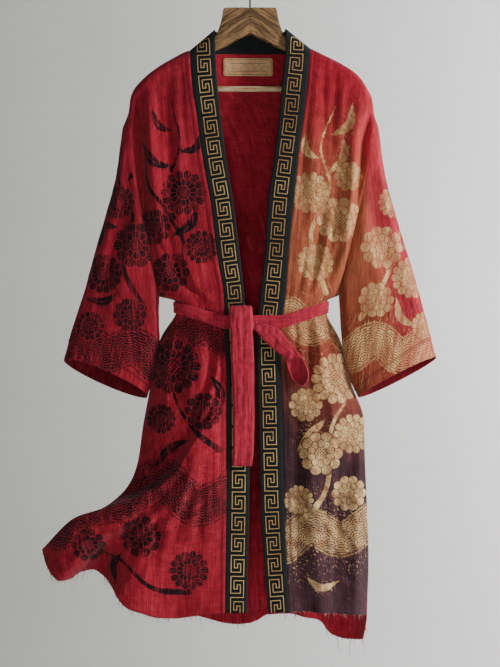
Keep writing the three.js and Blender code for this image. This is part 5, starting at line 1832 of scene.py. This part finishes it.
class ROBE_OT_fray(bpy.types.Operator):
    """Make the loose threads of the hems"""

    bl_idname = "robe.fray"
    bl_label = "Frayed Hems"

    def execute(self, context):
        settings = context.scene.robe
        make_fray(settings, fray_finish("fray_red", tuple(settings.red), tuple(settings.red_deep)),
                  fray_finish("fray_aubergine", rgb(176, 142, 140), rgb(104, 74, 78)))
        return {"FINISHED"}


class ROBE_OT_hanger(bpy.types.Operator):
    """Make the wooden hanger, its bar and its wire"""

    bl_idname = "robe.hanger"
    bl_label = "Hanger"

    def execute(self, context):
        make_block_and_arms(context.scene.hanger)
        make_bar(context.scene.hanger)
        wire_hook()
        return {"FINISHED"}


class ROBE_OT_stage(bpy.types.Operator):
    """Make the floor, the backdrop, the lights and the camera"""

    bl_idname = "robe.stage"
    bl_label = "Stage"

    def execute(self, context):
        make_camera()
        make_backdrop(context.scene.stage)
        make_lights(context.scene.stage)
        return {"FINISHED"}


OPERATORS = (ROBE_OT_stage, ROBE_OT_back, ROBE_OT_fronts, ROBE_OT_sleeves, ROBE_OT_collar, ROBE_OT_belt,
             ROBE_OT_label, ROBE_OT_fray, ROBE_OT_hanger)


class ROBE_PT_panel(bpy.types.Panel):
    """Lists the robe's operators and settings"""

    bl_idname = "ROBE_PT_panel"
    bl_label = "Robe on a Hanger"
    bl_space_type = "VIEW_3D"
    bl_region_type = "UI"
    bl_category = "Robe"

    def draw(self, context):
        for operator in OPERATORS:
            self.layout.operator(operator.bl_idname)
        for group in (context.scene.robe, context.scene.hanger, context.scene.stage):
            box = self.layout.box()
            for name in group.bl_rna.properties.keys():
                if name not in {"rna_type", "name"}:
                    box.prop(group, name)


GROUPS = {"robe": RobeSettings, "hanger": HangerSettings, "stage": StageSettings}


def register():
    for name, group in GROUPS.items():
        bpy.utils.register_class(group)
        setattr(bpy.types.Scene, name, bpy.props.PointerProperty(type=group))
    for made in (*OPERATORS, ROBE_PT_panel):
        bpy.utils.register_class(made)


def unregister():
    for made in (ROBE_PT_panel, *reversed(OPERATORS)):
        bpy.utils.unregister_class(made)
    for name, group in reversed(GROUPS.items()):
        delattr(bpy.types.Scene, name)
        bpy.utils.unregister_class(group)


def main():
    register()
    for operator in OPERATORS:
        getattr(bpy.ops.robe, operator.bl_idname.split(".")[1])()
    bpy.context.view_layer.update()


if __name__ == "__main__":
    main()
